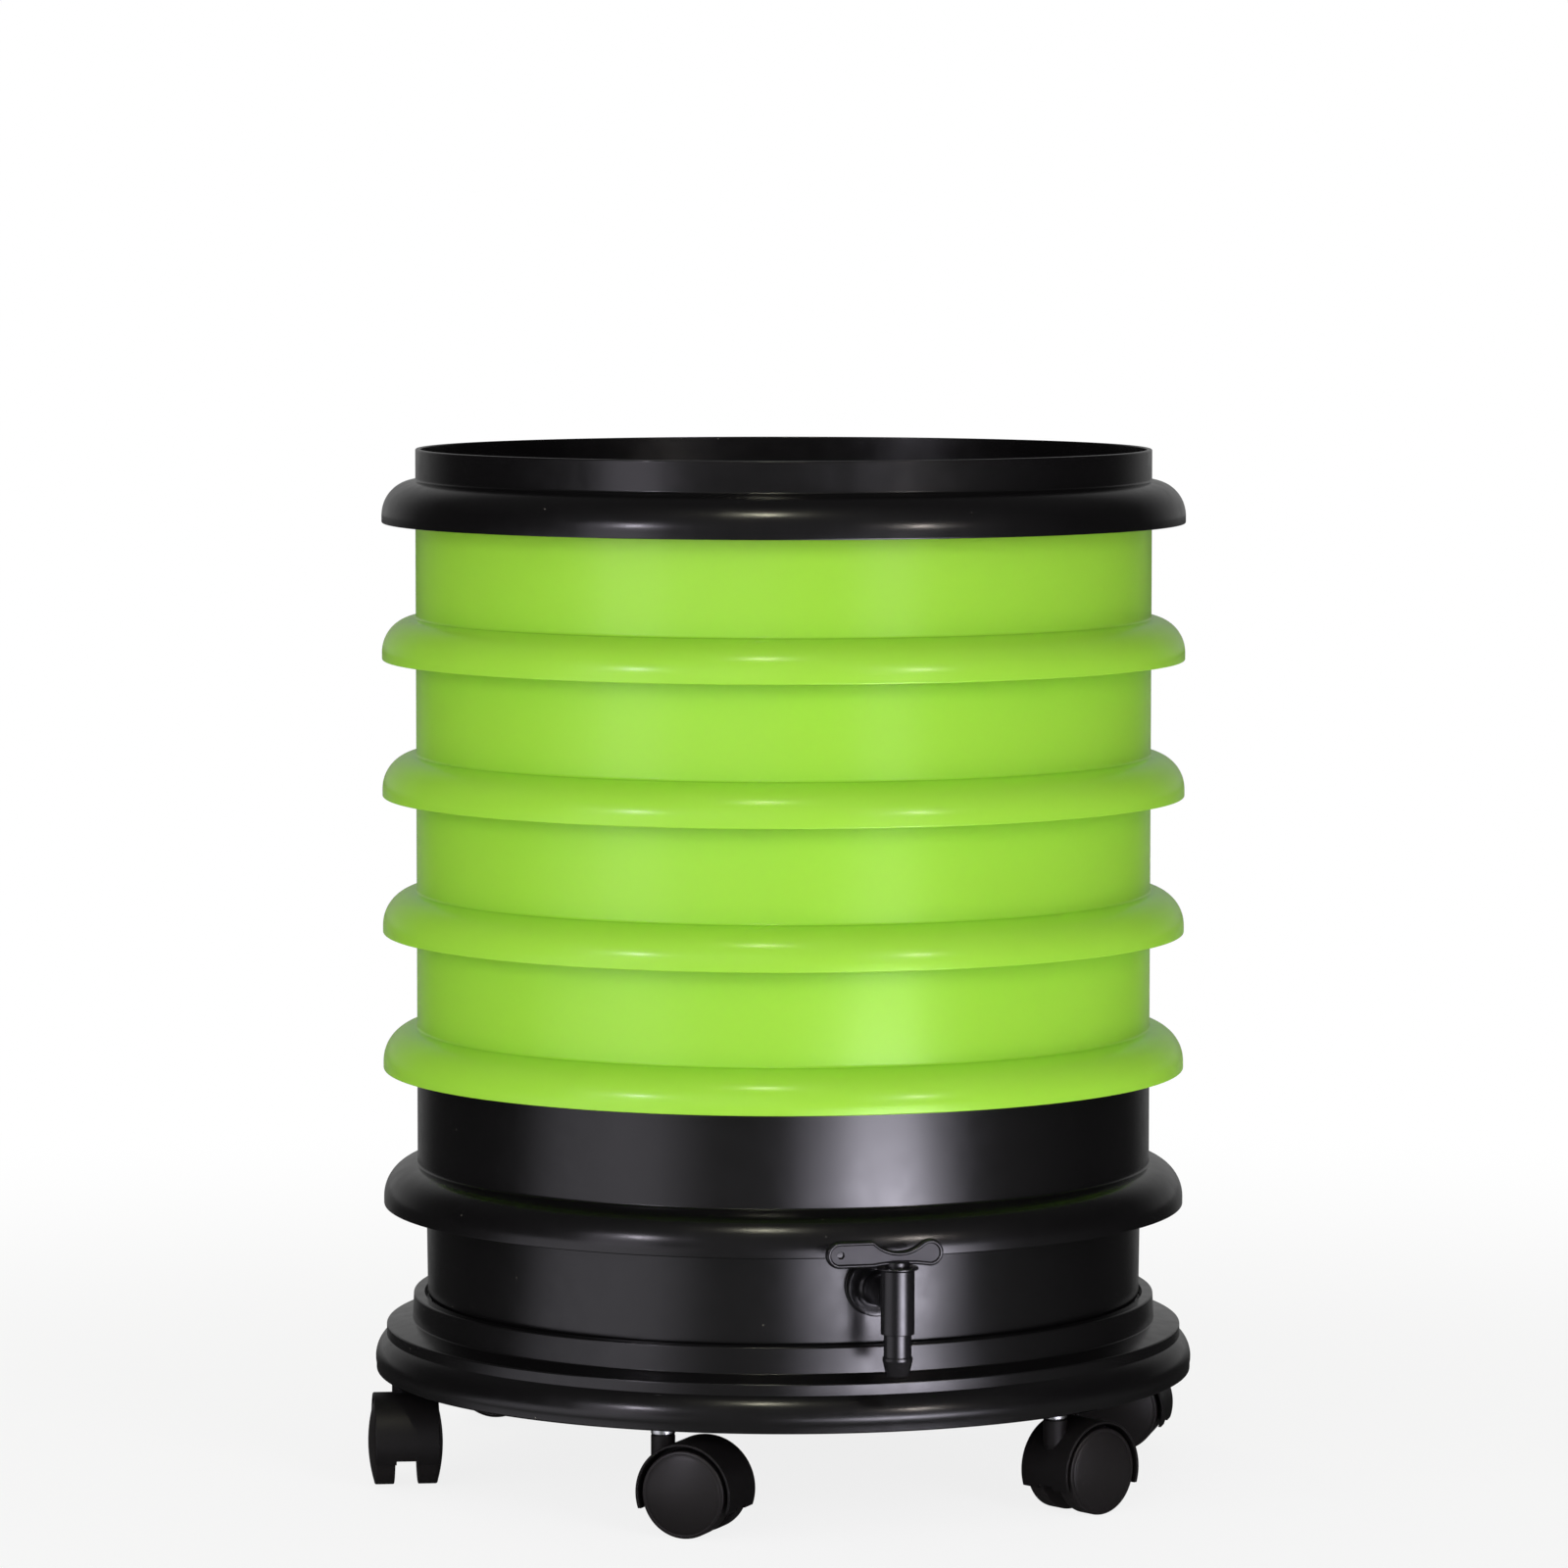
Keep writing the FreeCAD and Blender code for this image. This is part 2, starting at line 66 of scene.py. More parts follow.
# %% Place the camera
MM = 0.001
IMAGE_SIDE = 1600
FOCAL_PIXELS = 7099.4
SENSOR_MM = 36.0
CAMERA_PLACE_MM = (0.24, -3332.0, 601.4)
TILT_DOWN_DEGREES = 4.666
ROLL_DEGREES = 0.035
VIEW_END = 50
camera_data = bpy.data.cameras.new("camera")
camera_data.sensor_width = SENSOR_MM
camera_data.lens = FOCAL_PIXELS / IMAGE_SIDE * SENSOR_MM
camera_data.clip_end = VIEW_END
camera = bpy.data.objects.new("camera", camera_data)
camera.matrix_world = (
    Matrix.Translation(Vector(CAMERA_PLACE_MM) * MM)
    @ Matrix.Rotation(math.pi / 2 - math.radians(TILT_DOWN_DEGREES), 4, "X")
    @ Matrix.Rotation(math.radians(ROLL_DEGREES), 4, "Z")
)
scene.collection.objects.link(camera)
scene.camera = camera
scene.view_settings.view_transform = "Standard"
print("lens", round(camera_data.lens, 1), "mm")

# %% [markdown]
# ## Helpers for shapes
#
# Nearly every piece here was moulded round or turned, so the main tool is a lathe: an outline of
# (radius, height) points, in millimetres, swept round the Z axis. A real moulded edge is never
# sharp, and the light that catches its small round is what makes it look solid, so a corner of an
# outline can carry a third number, the radius of its round.

# %% Round the corners of an outline
def rounded(corners, steps=4):
    """Points along a closed outline. A corner is (x, y), or (x, y, radius) where it is rounded."""
    points = []
    for index, corner in enumerate(corners):
        here = Vector(corner[:2])
        if len(corner) < 3:
            points.append(here)
            continue
        radius = corner[2]
        back = (Vector(corners[index - 1][:2]) - here).normalized()
        ahead = (Vector(corners[(index + 1) % len(corners)][:2]) - here).normalized()
        half_angle = back.angle(ahead) / 2
        centre = here + (back + ahead).normalized() * (radius / math.sin(half_angle))
        first = here + back * (radius / math.tan(half_angle)) - centre
        last = here + ahead * (radius / math.tan(half_angle)) - centre
        for step in range(steps + 1):
            points.append(centre + first.slerp(last, step / steps) * radius)
    return points


def arc(centre, reach, start, end, steps):
    """Points on an arc between two angles in degrees. Reach is a radius, or (across, up)."""
    across, up = reach if isinstance(reach, tuple) else (reach, reach)
    angles = [math.radians(start + (end - start) * step / steps) for step in range(steps + 1)]
    return [(centre[0] + across * math.cos(a), centre[1] + up * math.sin(a)) for a in angles]


print("a rounded square has", len(rounded([(0, 0, 1), (4, 0, 1), (4, 4, 1), (0, 4, 1)])), "points")

# %% Turn an outline into a mesh
SEGMENTS = 192
MERGE_MM = 0.002
ON_AXIS_MM = 1e-6


def new_object(name, maker):
    """An object from a bmesh in millimetres, its faces turned outwards."""
    bmesh.ops.remove_doubles(maker, verts=maker.verts, dist=MERGE_MM)
    bmesh.ops.recalc_face_normals(maker, faces=maker.faces)
    bmesh.ops.scale(maker, vec=(MM, MM, MM), verts=maker.verts)
    mesh = bpy.data.meshes.new(name)
    maker.to_mesh(mesh)
    maker.free()
    piece = bpy.data.objects.new(name, mesh)
    scene.collection.objects.link(piece)
    return piece


def join_rings(maker, low, high):
    """Faces between two rings. Corners may meet, as they do on the axis of a lathe."""
    for index in range(len(low)):
        after = (index + 1) % len(low)
        corners = list(dict.fromkeys((low[index], low[after], high[after], high[index])))
        if len(corners) > 2:
            maker.faces.new(corners)


def close_ends(maker, ends):
    """Fills two end rings round their holes, and gives the holes walls. An end is (ring, holes)."""
    walls = []
    for ring, holes in ends:
        inner = [[maker.verts.new(point) for point in hole] for hole in holes]
        walls.append(inner)
        loops = [ring] + inner
        corners = [corner for loop in loops for corner in loop]
        for triangle in tessellate_polygon([[corner.co for corner in loop] for loop in loops]):
            maker.faces.new([corners[index] for index in triangle])
    for low, high in zip(*walls):
        join_rings(maker, low, high)


def turned(name, outline, segments=SEGMENTS, holes=(), closed=False):
    """A lathe piece. Where it has holes, its two ends meet a flat floor pierced by them."""
    maker = bmesh.new()
    turns = [2 * math.pi * index / segments for index in range(segments)]
    rings = []
    for radius, height in outline:
        if radius < ON_AXIS_MM:
            rings.append([maker.verts.new((0, 0, height))] * segments)
        else:
            rings.append([maker.verts.new((radius * math.cos(t), radius * math.sin(t), height))
                          for t in turns])
    pairs = list(zip(rings, rings[1:] + rings[:1]))
    for low, high in pairs if closed else pairs[:-1]:
        join_rings(maker, low, high)
    if holes:
        close_ends(maker, [(ring, [[(x, y, ring[0].co.z) for x, y in hole] for hole in holes])
                           for ring in (rings[0], rings[-1])])
    return new_object(name, maker)


def rod(radius, low, high, bore=0):
    """The outline of a plain rod or tube. Most of them cut a bore in something else."""
    return [(bore, low), (radius, low), (radius, high), (bore, high)]


print("lathe steps all round:", SEGMENTS)

# %% [markdown]
# Other pieces are flat shapes with thickness, such as the lever of the tap. They are lofted:
# the same outline is drawn several times, drawn in a little where an edge is rounded, and
# neighbouring outlines are joined by faces. That keeps every edge where it is wanted, which is
# surer than a bevel modifier on a shape with thin borders.

# %% Loft outlines, join solids and move them
def lofted(name, loops, holes=((), ())):
    """A solid through outlines of (x, y, z) of equal length. Holes are listed for both ends."""
    maker = bmesh.new()
    rings = [[maker.verts.new(point) for point in loop] for loop in loops]
    for low, high in zip(rings, rings[1:]):
        join_rings(maker, low, high)
    close_ends(maker, zip((rings[0], rings[-1]), holes))
    return new_object(name, maker)


def block(name, near, far, half_width, low, high):
    """A box that lies along X, for a rib or to cut a gap."""
    plan = ((near, -half_width), (far, -half_width), (far, half_width), (near, half_width))
    return lofted(name, [[(*point, height) for point in plan] for height in (low, high)])


def combined(piece, others, operation="UNION"):
    """One mesh from several solids that overlap, or a solid less the others."""
    for other in others:
        modifier = piece.modifiers.new("combine", "BOOLEAN")
        modifier.operation = operation
        modifier.solver = "EXACT"
        modifier.object = other
    bpy.context.view_layer.update()
    evaluated = piece.evaluated_get(bpy.context.evaluated_depsgraph_get())
    result = bpy.data.meshes.new_from_object(evaluated)
    piece.modifiers.clear()
    piece.data = result
    for other in others:
        bpy.data.objects.remove(other)
    return piece


def moved(piece, matrix):
    """Moves a piece's mesh, so that its object stays at the origin."""
    piece.data.transform(matrix)
    return piece


def shift(x, y, z):
    """A move in millimetres."""
    return Matrix.Translation(Vector((x, y, z)) * MM)


def upright_at(place):
    """A move to where a joint stands on the floor plan, in metres."""
    return Matrix.Translation((place.x, place.y, 0))


def turn(degrees, axis):
    """A turn about one axis."""
    return Matrix.Rotation(math.radians(degrees), 4, axis)


print("a move of 1 mm:", [round(part, 3) for part in shift(1, 0, 0).to_translation()])

# %% [markdown]
# ## Helpers for finishes
#
# Colours are written as sRGB hex values, as a designer would note them, and one function turns
# them to the linear values that shaders use. One more function adds a node to a material with its
# settings and links, so that a material reads as a short list.

# %% Colours and nodes
WHITE = "#FFFFFF"
LIME = "#A3DC42"
SMOOTH = {"interpolation_type": "SMOOTHSTEP"}
# Blender's Mix node has sockets for each kind of data. These are the numbers of the ones used.
SHARE, FLOAT_A, FLOAT_B, COLOUR_A, COLOUR_B = 0, 2, 3, 6, 7
COLOUR_RESULT = 2


def linear(hex_colour):
    """Linear red, green, blue and alpha from an sRGB hex colour, by the curve of that standard."""
    parts = [int(hex_colour[index:index + 2], 16) / 255 for index in (1, 3, 5)]
    return [p / 12.92 if p <= 0.04045 else ((p + 0.055) / 1.055) ** 2.4 for p in parts] + [1.0]


def add_node(tree, kind, inputs=None, **settings):
    """Adds a node. An input is a value, or an output or a node (its first output) to link to."""
    made = tree.nodes.new("ShaderNode" + kind)
    for name, value in settings.items():
        setattr(made, name, value)
    for socket, value in (inputs or {}).items():
        if isinstance(value, bpy.types.Node):
            value = value.outputs[0]
        if isinstance(value, bpy.types.NodeSocket):
            tree.links.new(value, made.inputs[socket])
        else:
            made.inputs[socket].default_value = value
    return made


def per_metre(size_mm):
    """The scale at which a pattern repeats every so many millimetres."""
    return 1000.0 / size_mm


def empty_tree(owner):
    """Gives a material or a world an empty node tree."""
    owner.use_nodes = True
    owner.node_tree.nodes.clear()
    return owner.node_tree


print("lime green in linear light:", [round(part, 3) for part in linear(LIME)])

# %% [markdown]
# ## Moulded plastics
#
# All the large pieces are polypropylene, injection moulded: liquid plastic pressed into a steel
# mould. The surface copies the mould, so it is satin and even, with a faint long waviness where
# the wall shrank as it cooled, and a very fine grain. Polypropylene is a little translucent, which
# keeps the shaded side of the green trays a clean green instead of grey. The castors are nylon
# from a spark-eroded mould, which leaves a coarser, matt grain. A plain colour would look like
# paper, so each plastic gets its tone, its gloss and its grain from real sizes.

# %% Build a moulded plastic
MOTTLE_MM = 60
RUB_MM = 9
WAVE_MM = 45
DUST_MM = 14
DUST_COLOUR = "#77736C"
NOISE_SPAN = {"From Min": 0.3, "From Max": 0.7}
PLASTIC_IOR = 1.49
SCATTER_BY_COLOUR = (0.6, 1.0, 0.3)
SCATTER_MM = 3


def moulded_plastic(name, colour, shade, roughness, grain_mm, grain_depth, wave_depth,
                    specular=0.5, glow=0.0, dust=0.0, uneven=0.03):
    """A moulded plastic: mottled colour, uneven satin gloss, long shrink waves and a fine grain.

    The size and the depths of grain and waves are in millimetres."""
    material = bpy.data.materials.new(name)
    tree = empty_tree(material)
    place = add_node(tree, "TexCoord").outputs["Object"]
    mottle = add_node(tree, "TexNoise",
                      {"Vector": place, "Scale": per_metre(MOTTLE_MM), "Detail": 2.0})
    tone = add_node(tree, "Mix", {SHARE: mottle, COLOUR_A: linear(colour),
                                  COLOUR_B: linear(shade)}, data_type="RGBA")
    rub = add_node(tree, "TexNoise", {"Vector": place, "Scale": per_metre(RUB_MM), "Detail": 4.0})
    gloss = add_node(tree, "MapRange", {"Value": rub, **NOISE_SPAN, "To Min": roughness - uneven,
                                        "To Max": roughness + uneven})
    wave = add_node(tree, "TexNoise",
                    {"Vector": place, "Scale": per_metre(WAVE_MM), "Detail": 1.0})
    wave_bump = add_node(tree, "Bump",
                         {"Height": wave, "Strength": 1.0, "Distance": wave_depth * MM})
    grain = add_node(tree, "TexNoise",
                     {"Vector": place, "Scale": per_metre(grain_mm), "Detail": 2.0})
    grain_bump = add_node(tree, "Bump", {"Height": grain, "Strength": 1.0,
                                         "Distance": grain_depth * MM, "Normal": wave_bump})
    shader = add_node(tree, "BsdfPrincipled",
                      {"Base Color": tone.outputs[COLOUR_RESULT], "Roughness": gloss,
                       "IOR": PLASTIC_IOR, "Specular IOR Level": specular, "Normal": grain_bump})
    if glow:
        shader.inputs["Subsurface Weight"].default_value = glow
        shader.inputs["Subsurface Radius"].default_value = SCATTER_BY_COLOUR
        shader.inputs["Subsurface Scale"].default_value = SCATTER_MM * MM
    if dust:
        specks = add_node(tree, "TexVoronoi", {"Vector": place, "Scale": per_metre(DUST_MM)})
        speck = add_node(tree, "Math", {0: specks, 1: dust}, operation="LESS_THAN")
        dusted = add_node(tree, "Mix", {SHARE: speck, COLOUR_A: tone.outputs[COLOUR_RESULT],
                                        COLOUR_B: linear(DUST_COLOUR)}, data_type="RGBA")
        tree.links.new(dusted.outputs[COLOUR_RESULT], shader.inputs["Base Color"])
    add_node(tree, "OutputMaterial", {"Surface": shader})
    return material


green_plastic = moulded_plastic(
    "lime green polypropylene, injection moulded", LIME, "#9FD93E", roughness=0.225,
    grain_mm=1.2, grain_depth=0.003, wave_depth=0.04, specular=0.36, glow=0.16, uneven=0.008)
black_plastic = moulded_plastic(
    "black polypropylene, injection moulded", "#0C0B0C", "#0A090A", roughness=0.23,
    grain_mm=1.2, grain_depth=0.004, wave_depth=0.05, dust=0.02)
tap_plastic = moulded_plastic(
    "black ABS, injection moulded", "#151417", "#121113", roughness=0.22,
    grain_mm=0.8, grain_depth=0.003, wave_depth=0.01, specular=0.42)
lever_plastic = moulded_plastic(
    "black ABS, moulded with a fine matt face", "#1A181C", "#171519", roughness=0.46,
    grain_mm=0.6, grain_depth=0.01, wave_depth=0.0, specular=0.4)
hood_plastic = moulded_plastic(
    "black nylon, spark-eroded grain", "#141213", "#110F10", roughness=0.46,
    grain_mm=0.7, grain_depth=0.03, wave_depth=0.0, specular=0.3)
wheel_plastic = moulded_plastic(
    "black nylon, moulded wheel", "#1C191A", "#181516", roughness=0.40,
    grain_mm=0.6, grain_depth=0.025, wave_depth=0.0, specular=0.4)
print("plastics:", green_plastic.name, "and five blacks")

# %% [markdown]
# ## Steel and rubber
#
# The castor stems and axles are steel with bright zinc plate, which is metallic and a little soft
# in its reflections. The tap is sealed by rubber washers, cut from sheet, dull and nearly black.

# %% Build zinc plate and rubber
GRAIN_UNEVEN = 0.06


def plain_material(name, colour, metallic, roughness, grain_mm, grain_depth):
    """A metal or a rubber: one colour, with roughness that varies over a fine grain."""
    material = bpy.data.materials.new(name)
    tree = empty_tree(material)
    place = add_node(tree, "TexCoord").outputs["Object"]
    grain = add_node(tree, "TexNoise",
                     {"Vector": place, "Scale": per_metre(grain_mm), "Detail": 3.0})
    gloss = add_node(tree, "MapRange",
                     {"Value": grain, **NOISE_SPAN,
                      "To Min": roughness - GRAIN_UNEVEN, "To Max": roughness + GRAIN_UNEVEN})
    bump = add_node(tree, "Bump",
                    {"Height": grain, "Strength": 1.0, "Distance": grain_depth * MM})
    shader = add_node(tree, "BsdfPrincipled", {"Base Color": linear(colour), "Metallic": metallic,
                                               "Roughness": gloss, "Normal": bump})
    add_node(tree, "OutputMaterial", {"Surface": shader})
    return material


zinc_plate = plain_material("steel, bright zinc plated", "#D2D4D6", 1.0, 0.24, 1.0, 0.003)
washer_rubber = plain_material("EPDM rubber, cut from sheet", "#222120", 0.0, 0.7, 0.8, 0.01)
print("plain materials:", zinc_plate.name, "and", washer_rubber.name)

# %% [markdown]
# ## Putting a piece in place
#
# Each finished piece gets its plastic, smooth shading and weighted normals. Weighted normals make
# the large faces look flat and let only the small rounded edges turn the light. Then the piece is
# tied to the body that it moves with, and takes the place of its CAD node.

# %% Finish and place a piece
def place_piece(piece, material, body, node, sharp_degrees=40):
    """Dresses a piece, ties it to its body and lets it stand for its CAD node."""
    piece.data.materials.clear()
    piece.data.materials.append(material)
    for polygon in piece.data.polygons:
        polygon.use_smooth = True
    piece.data.set_sharp_from_angle(angle=math.radians(sharp_degrees))
    weighted = piece.modifiers.new("weighted normals", "WEIGHTED_NORMAL")
    weighted.keep_sharp = True
    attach(piece, body)
    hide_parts(node)


def dress_node(node, material):
    """Gives a CAD node that stays in view a better material."""
    piece = frame["nodes"][node]
    piece.data.materials.clear()
    piece.data.materials.append(material)


print("CAD nodes to dress or to replace:", len(frame["nodes"]))

# %% [markdown]
# ## The stacking modules
#
# Every tray is one moulding: a wall that stands on a hollow, rounded flange, and a spigot that
# hangs inside the tray below. The flange is the ring that gives the wormery its look. Its outside
# is a quarter round, tight at the lip, that runs up to a small hollow where it meets the wall.
# One outline with real sizes serves all of them, so it is written once and moved up and down.

# %% The outline of a module
WALL_RADIUS = 176.2
WALL_THICK = 2.4
SPIGOT_RADIUS = 172.2
SPIGOT_FOOT_RADIUS = 171.4
FLANGE_HEIGHT = 20.2
FLANGE_REACH = 16.2
FLANGE_THICK = 2.4
LIP_STRAIGHT = 3.5
NOSE_END = 84
NOSE_STEPS = 18
ROOT_HOLLOW = 1.0
SHELF_WIDTH = 2.3
BULGE_INSIDE = 1.4
BULGE_HEIGHT = 10.0
FLOOR_THICK = 2.6
FOOT_ROUND = 2.5
TRAY_DROP = 8.0
FLOOR_EDGE = 160.0
PITCH = 65.5
PLANTER_LIP = 455.5
PLANTER_UPSTAND = 15.0
RIM_OVER = PITCH + FLANGE_HEIGHT - FLANGE_THICK


def module_outline(lip, rim_top, floor_under, foot_round):
    """The cross-section from the floor's underside, out round the flange, up the wall and back."""
    root = lip + FLANGE_HEIGHT
    seat = root - FLANGE_THICK
    lip_radius = WALL_RADIUS + FLANGE_REACH
    inner_wall = WALL_RADIUS - WALL_THICK
    nose = arc((WALL_RADIUS, lip + LIP_STRAIGHT), (FLANGE_REACH, FLANGE_HEIGHT - LIP_STRAIGHT),
               0, NOSE_END, NOSE_STEPS)
    corners = [
        (FLOOR_EDGE, floor_under),
        (SPIGOT_FOOT_RADIUS, floor_under, foot_round),
        (SPIGOT_RADIUS, seat, 0.8),
        (WALL_RADIUS + SHELF_WIDTH, seat, 1.0),
        (lip_radius - FLANGE_THICK - BULGE_INSIDE, lip + BULGE_HEIGHT, 3.0),
        (lip_radius - FLANGE_THICK, lip, 0.4),
        (lip_radius, lip, 0.6),
        *nose,
        (WALL_RADIUS, root, ROOT_HOLLOW),
        (WALL_RADIUS, rim_top, 0.7),
        (inner_wall, rim_top, 0.5),
        (inner_wall, root, 0.8),
        (SPIGOT_RADIUS - WALL_THICK, root, 0.8),
        (SPIGOT_FOOT_RADIUS - WALL_THICK, floor_under + FLOOR_THICK, 1.5),
        (FLOOR_EDGE, floor_under + FLOOR_THICK),
    ]
    return rounded(corners)


planter_outline = module_outline(PLANTER_LIP, PLANTER_LIP + FLANGE_HEIGHT + PLANTER_UPSTAND,
                                 PLANTER_LIP - TRAY_DROP, FOOT_ROUND)
print("points in the planter's outline:", len(planter_outline))

# %% [markdown]
# ## Floors with holes
#
# Worms climb up to fresh food, and liquid drains down, through slots in the tray floors. They
# stand like spokes in three rings. The planter's floor needs only small square holes, so that its
# soil stays in. Each hole is an outline with rounded corners, and the floor is filled round them.

# %% Slots and drain holes
SLOT_START = 30.0
SLOT_WIDTH = 6.0
SLOT_LENGTH = 30.0
SLOT_GAP = 12.0
SLOT_CORNER = 2.8
SLOT_COUNTS = (8, 12, 18)
DRAIN_SIDE = 8.0
DRAIN_CORNER = 1.2
DRAIN_RING = 110.0
DRAIN_COUNT = 12


def hole_at(middle, length, width, corner, degrees):
    """A rounded hole that points outwards, turned about the middle of the floor."""
    near, far, side = middle - length / 2, middle + length / 2, width / 2
    outline = rounded([(near, -side, corner), (far, -side, corner), (far, side, corner),
                       (near, side, corner)], steps=3)
    spin = Matrix.Rotation(math.radians(degrees), 2)
    return [tuple(spin @ point) for point in outline]


tray_slots = []
for ring, count in enumerate(SLOT_COUNTS):
    middle = SLOT_START + ring * (SLOT_LENGTH + SLOT_GAP) + SLOT_LENGTH / 2
    for index in range(count):
        tray_slots.append(hole_at(middle, SLOT_LENGTH, SLOT_WIDTH, SLOT_CORNER,
                                  360 * index / count))
drains = [hole_at(0, DRAIN_SIDE, DRAIN_SIDE, DRAIN_CORNER, 0)]
for index in range(DRAIN_COUNT):
    drains.append(hole_at(DRAIN_RING, DRAIN_SIDE, DRAIN_SIDE, DRAIN_CORNER,
                          360 * index / DRAIN_COUNT))
print("slots in a tray:", len(tray_slots), "drain holes:", len(drains))

# %% Mould the planter and the four trays
planter = turned("planter", planter_outline, holes=drains)
place_piece(planter, black_plastic, "planter", "planter_tray")
for number in range(1, 5):
    lip = PLANTER_LIP - number * PITCH
    tray = turned(f"worm_tray_moulding_{number}",
                  module_outline(lip, lip + RIM_OVER, lip - TRAY_DROP, FOOT_ROUND),
                  holes=tray_slots)
    place_piece(tray, green_plastic, f"tray_{number}", f"worm_tray_{number}")
print("faces in one tray:", len(tray.data.polygons))

# %% [markdown]
# ## The collector
#
# The collector is the same moulding with a closed floor and no slots, because it holds the liquid.
# Its tub is rounded at the foot, which shows just above the dolly, and a flat round pad carries
# the tap. The pad is joined to the turned tub, and its hole cut, with booleans, because they lie
# across the turning axis.

# %% Mould the collector
BASE_LIP = 128.0
DECK_TOP = 80.2
TUB_FOOT_ROUND = 6.0
ROUND_SEGMENTS = 256
PAD_INNER = 167.95
PAD_OUTER = 173.15
PAD_RADIUS = 13.8
TAP_HOLE_RADIUS = 9.9
PAST_PAD = 4
TAP_HEIGHT = 112.0
tap_place = Vector(joints["tap_turn"]["pos_m"][:2])
tap_reach = tap_place.length / MM
outwards = turn(math.degrees(math.atan2(tap_place.y, tap_place.x)), "Z")


def along_inlet(name, outline, closed=False):
    """A lathe piece on the tap's inlet line. Heights count outwards from the stack's axis."""
    return moved(turned(name, outline, 64, closed=closed),
                 outwards @ shift(0, 0, TAP_HEIGHT) @ turn(90, "Y"))


base_outline = module_outline(BASE_LIP, BASE_LIP + RIM_OVER, DECK_TOP, TUB_FOOT_ROUND)
collector = turned("collector",
                   [(0, DECK_TOP)] + base_outline + [(0, DECK_TOP + FLOOR_THICK)], ROUND_SEGMENTS)
pad = along_inlet("pad", rounded([
    (0, PAD_INNER), (PAD_RADIUS, PAD_INNER, 0.4), (PAD_RADIUS, PAD_OUTER, 0.5), (0, PAD_OUTER)]))
hole = along_inlet("hole", rod(TAP_HOLE_RADIUS, PAD_INNER - PAST_PAD, PAD_OUTER + PAST_PAD))
combined(collector, [pad])
combined(collector, [hole], "DIFFERENCE")
place_piece(collector, black_plastic, "collector", "collector_base")
print("collector faces:", len(collector.data.polygons), "tap is", round(tap_reach, 1), "mm out")

# %% [markdown]
# ## The tap
#
# The tap is a quarter-turn plug tap in black ABS. Its tail goes through the tub wall and is held
# by a nut inside. Outside, a short stub leads to an upright barrel, whose spout ends in a barb
# that grips a hose. A lever like a small flat bone turns the plug. The body is two lathe pieces
# joined with a boolean, and the lever is lofted, with a raised border round a sunk web.

# %% Mould the tap body
FLANGE_FACE = 175.15
FLANGE_FRONT = FLANGE_FACE + 3.0
FLANGE_DISH = FLANGE_FACE + 2.5
TAP_FLANGE_RADIUS = 13.5
DISH_EDGE_RADIUS = 10.4
DISH_RADIUS = 9.8
TAIL_END = FLANGE_FACE - 24.0
TAIL_RADIUS = 9.6
THREAD_ROOT_RADIUS = TAIL_RADIUS - 0.7
THREAD_START = TAIL_END + 1.5
THREAD_END = FLANGE_FACE - 3.0
THREAD_PITCH = 2.0
STUB_RADIUS = 7.2
STUB_FOOT = 1.0
INLET_BORE = 4.6
OUTLET_BORE = 4.0
BARREL_RADIUS = 7.7
BARREL_FOOT = 96.2
BARREL_TOP = 125.6
SPOUT_RADIUS = 6.3
BARB_RADIUS = 6.9
BARB_TIP_RADIUS = 5.2
BARB_TOP = 85.8
BARB_LAND = 1.5
BARB_FOOT = 77.1
PLUG_SEAT = 101.95
SEAT_RADIUS = 5.95
STUB_END = tap_reach - SEAT_RADIUS - 0.6
at_barrel = upright_at(tap_place) @ outwards
thread = []
crest = THREAD_START
while crest < THREAD_END:
    thread += [(TAIL_RADIUS, crest), (THREAD_ROOT_RADIUS, crest + THREAD_PITCH / 2)]
    crest += THREAD_PITCH
inlet = along_inlet("inlet", rounded([
    (INLET_BORE, TAIL_END), (THREAD_ROOT_RADIUS, TAIL_END), *thread, (TAIL_RADIUS, FLANGE_FACE),
    (TAP_FLANGE_RADIUS, FLANGE_FACE, 0.3), (TAP_FLANGE_RADIUS, FLANGE_FRONT, 0.6),
    (DISH_EDGE_RADIUS, FLANGE_FRONT), (DISH_RADIUS, FLANGE_DISH),
    (STUB_RADIUS + STUB_FOOT, FLANGE_DISH), (STUB_RADIUS, FLANGE_DISH + STUB_FOOT),
    (STUB_RADIUS, STUB_END), (INLET_BORE, STUB_END)]), closed=True)
upright = turned("tap_barrel_and_spout", rounded([
    (OUTLET_BORE, BARB_FOOT), (BARB_TIP_RADIUS, BARB_FOOT, 0.4),
    (BARB_RADIUS, BARB_TOP - BARB_LAND, 0.3), (BARB_RADIUS, BARB_TOP, 0.3),
    (SPOUT_RADIUS, BARB_TOP, 0.2), (SPOUT_RADIUS, BARREL_FOOT), (BARREL_RADIUS, BARREL_FOOT, 0.4),
    (BARREL_RADIUS, BARREL_TOP, 0.4), (SEAT_RADIUS, BARREL_TOP, 0.3), (SEAT_RADIUS, PLUG_SEAT),
    (OUTLET_BORE, PLUG_SEAT)]), 96, closed=True)
moved(upright, at_barrel)
combined(upright, [inlet])
waterway = along_inlet("waterway", rod(INLET_BORE, STUB_END - 2, tap_reach))
combined(upright, [waterway], "DIFFERENCE")
place_piece(upright, tap_plastic, "collector", "tap_body")
print("tap body faces:", len(upright.data.polygons))

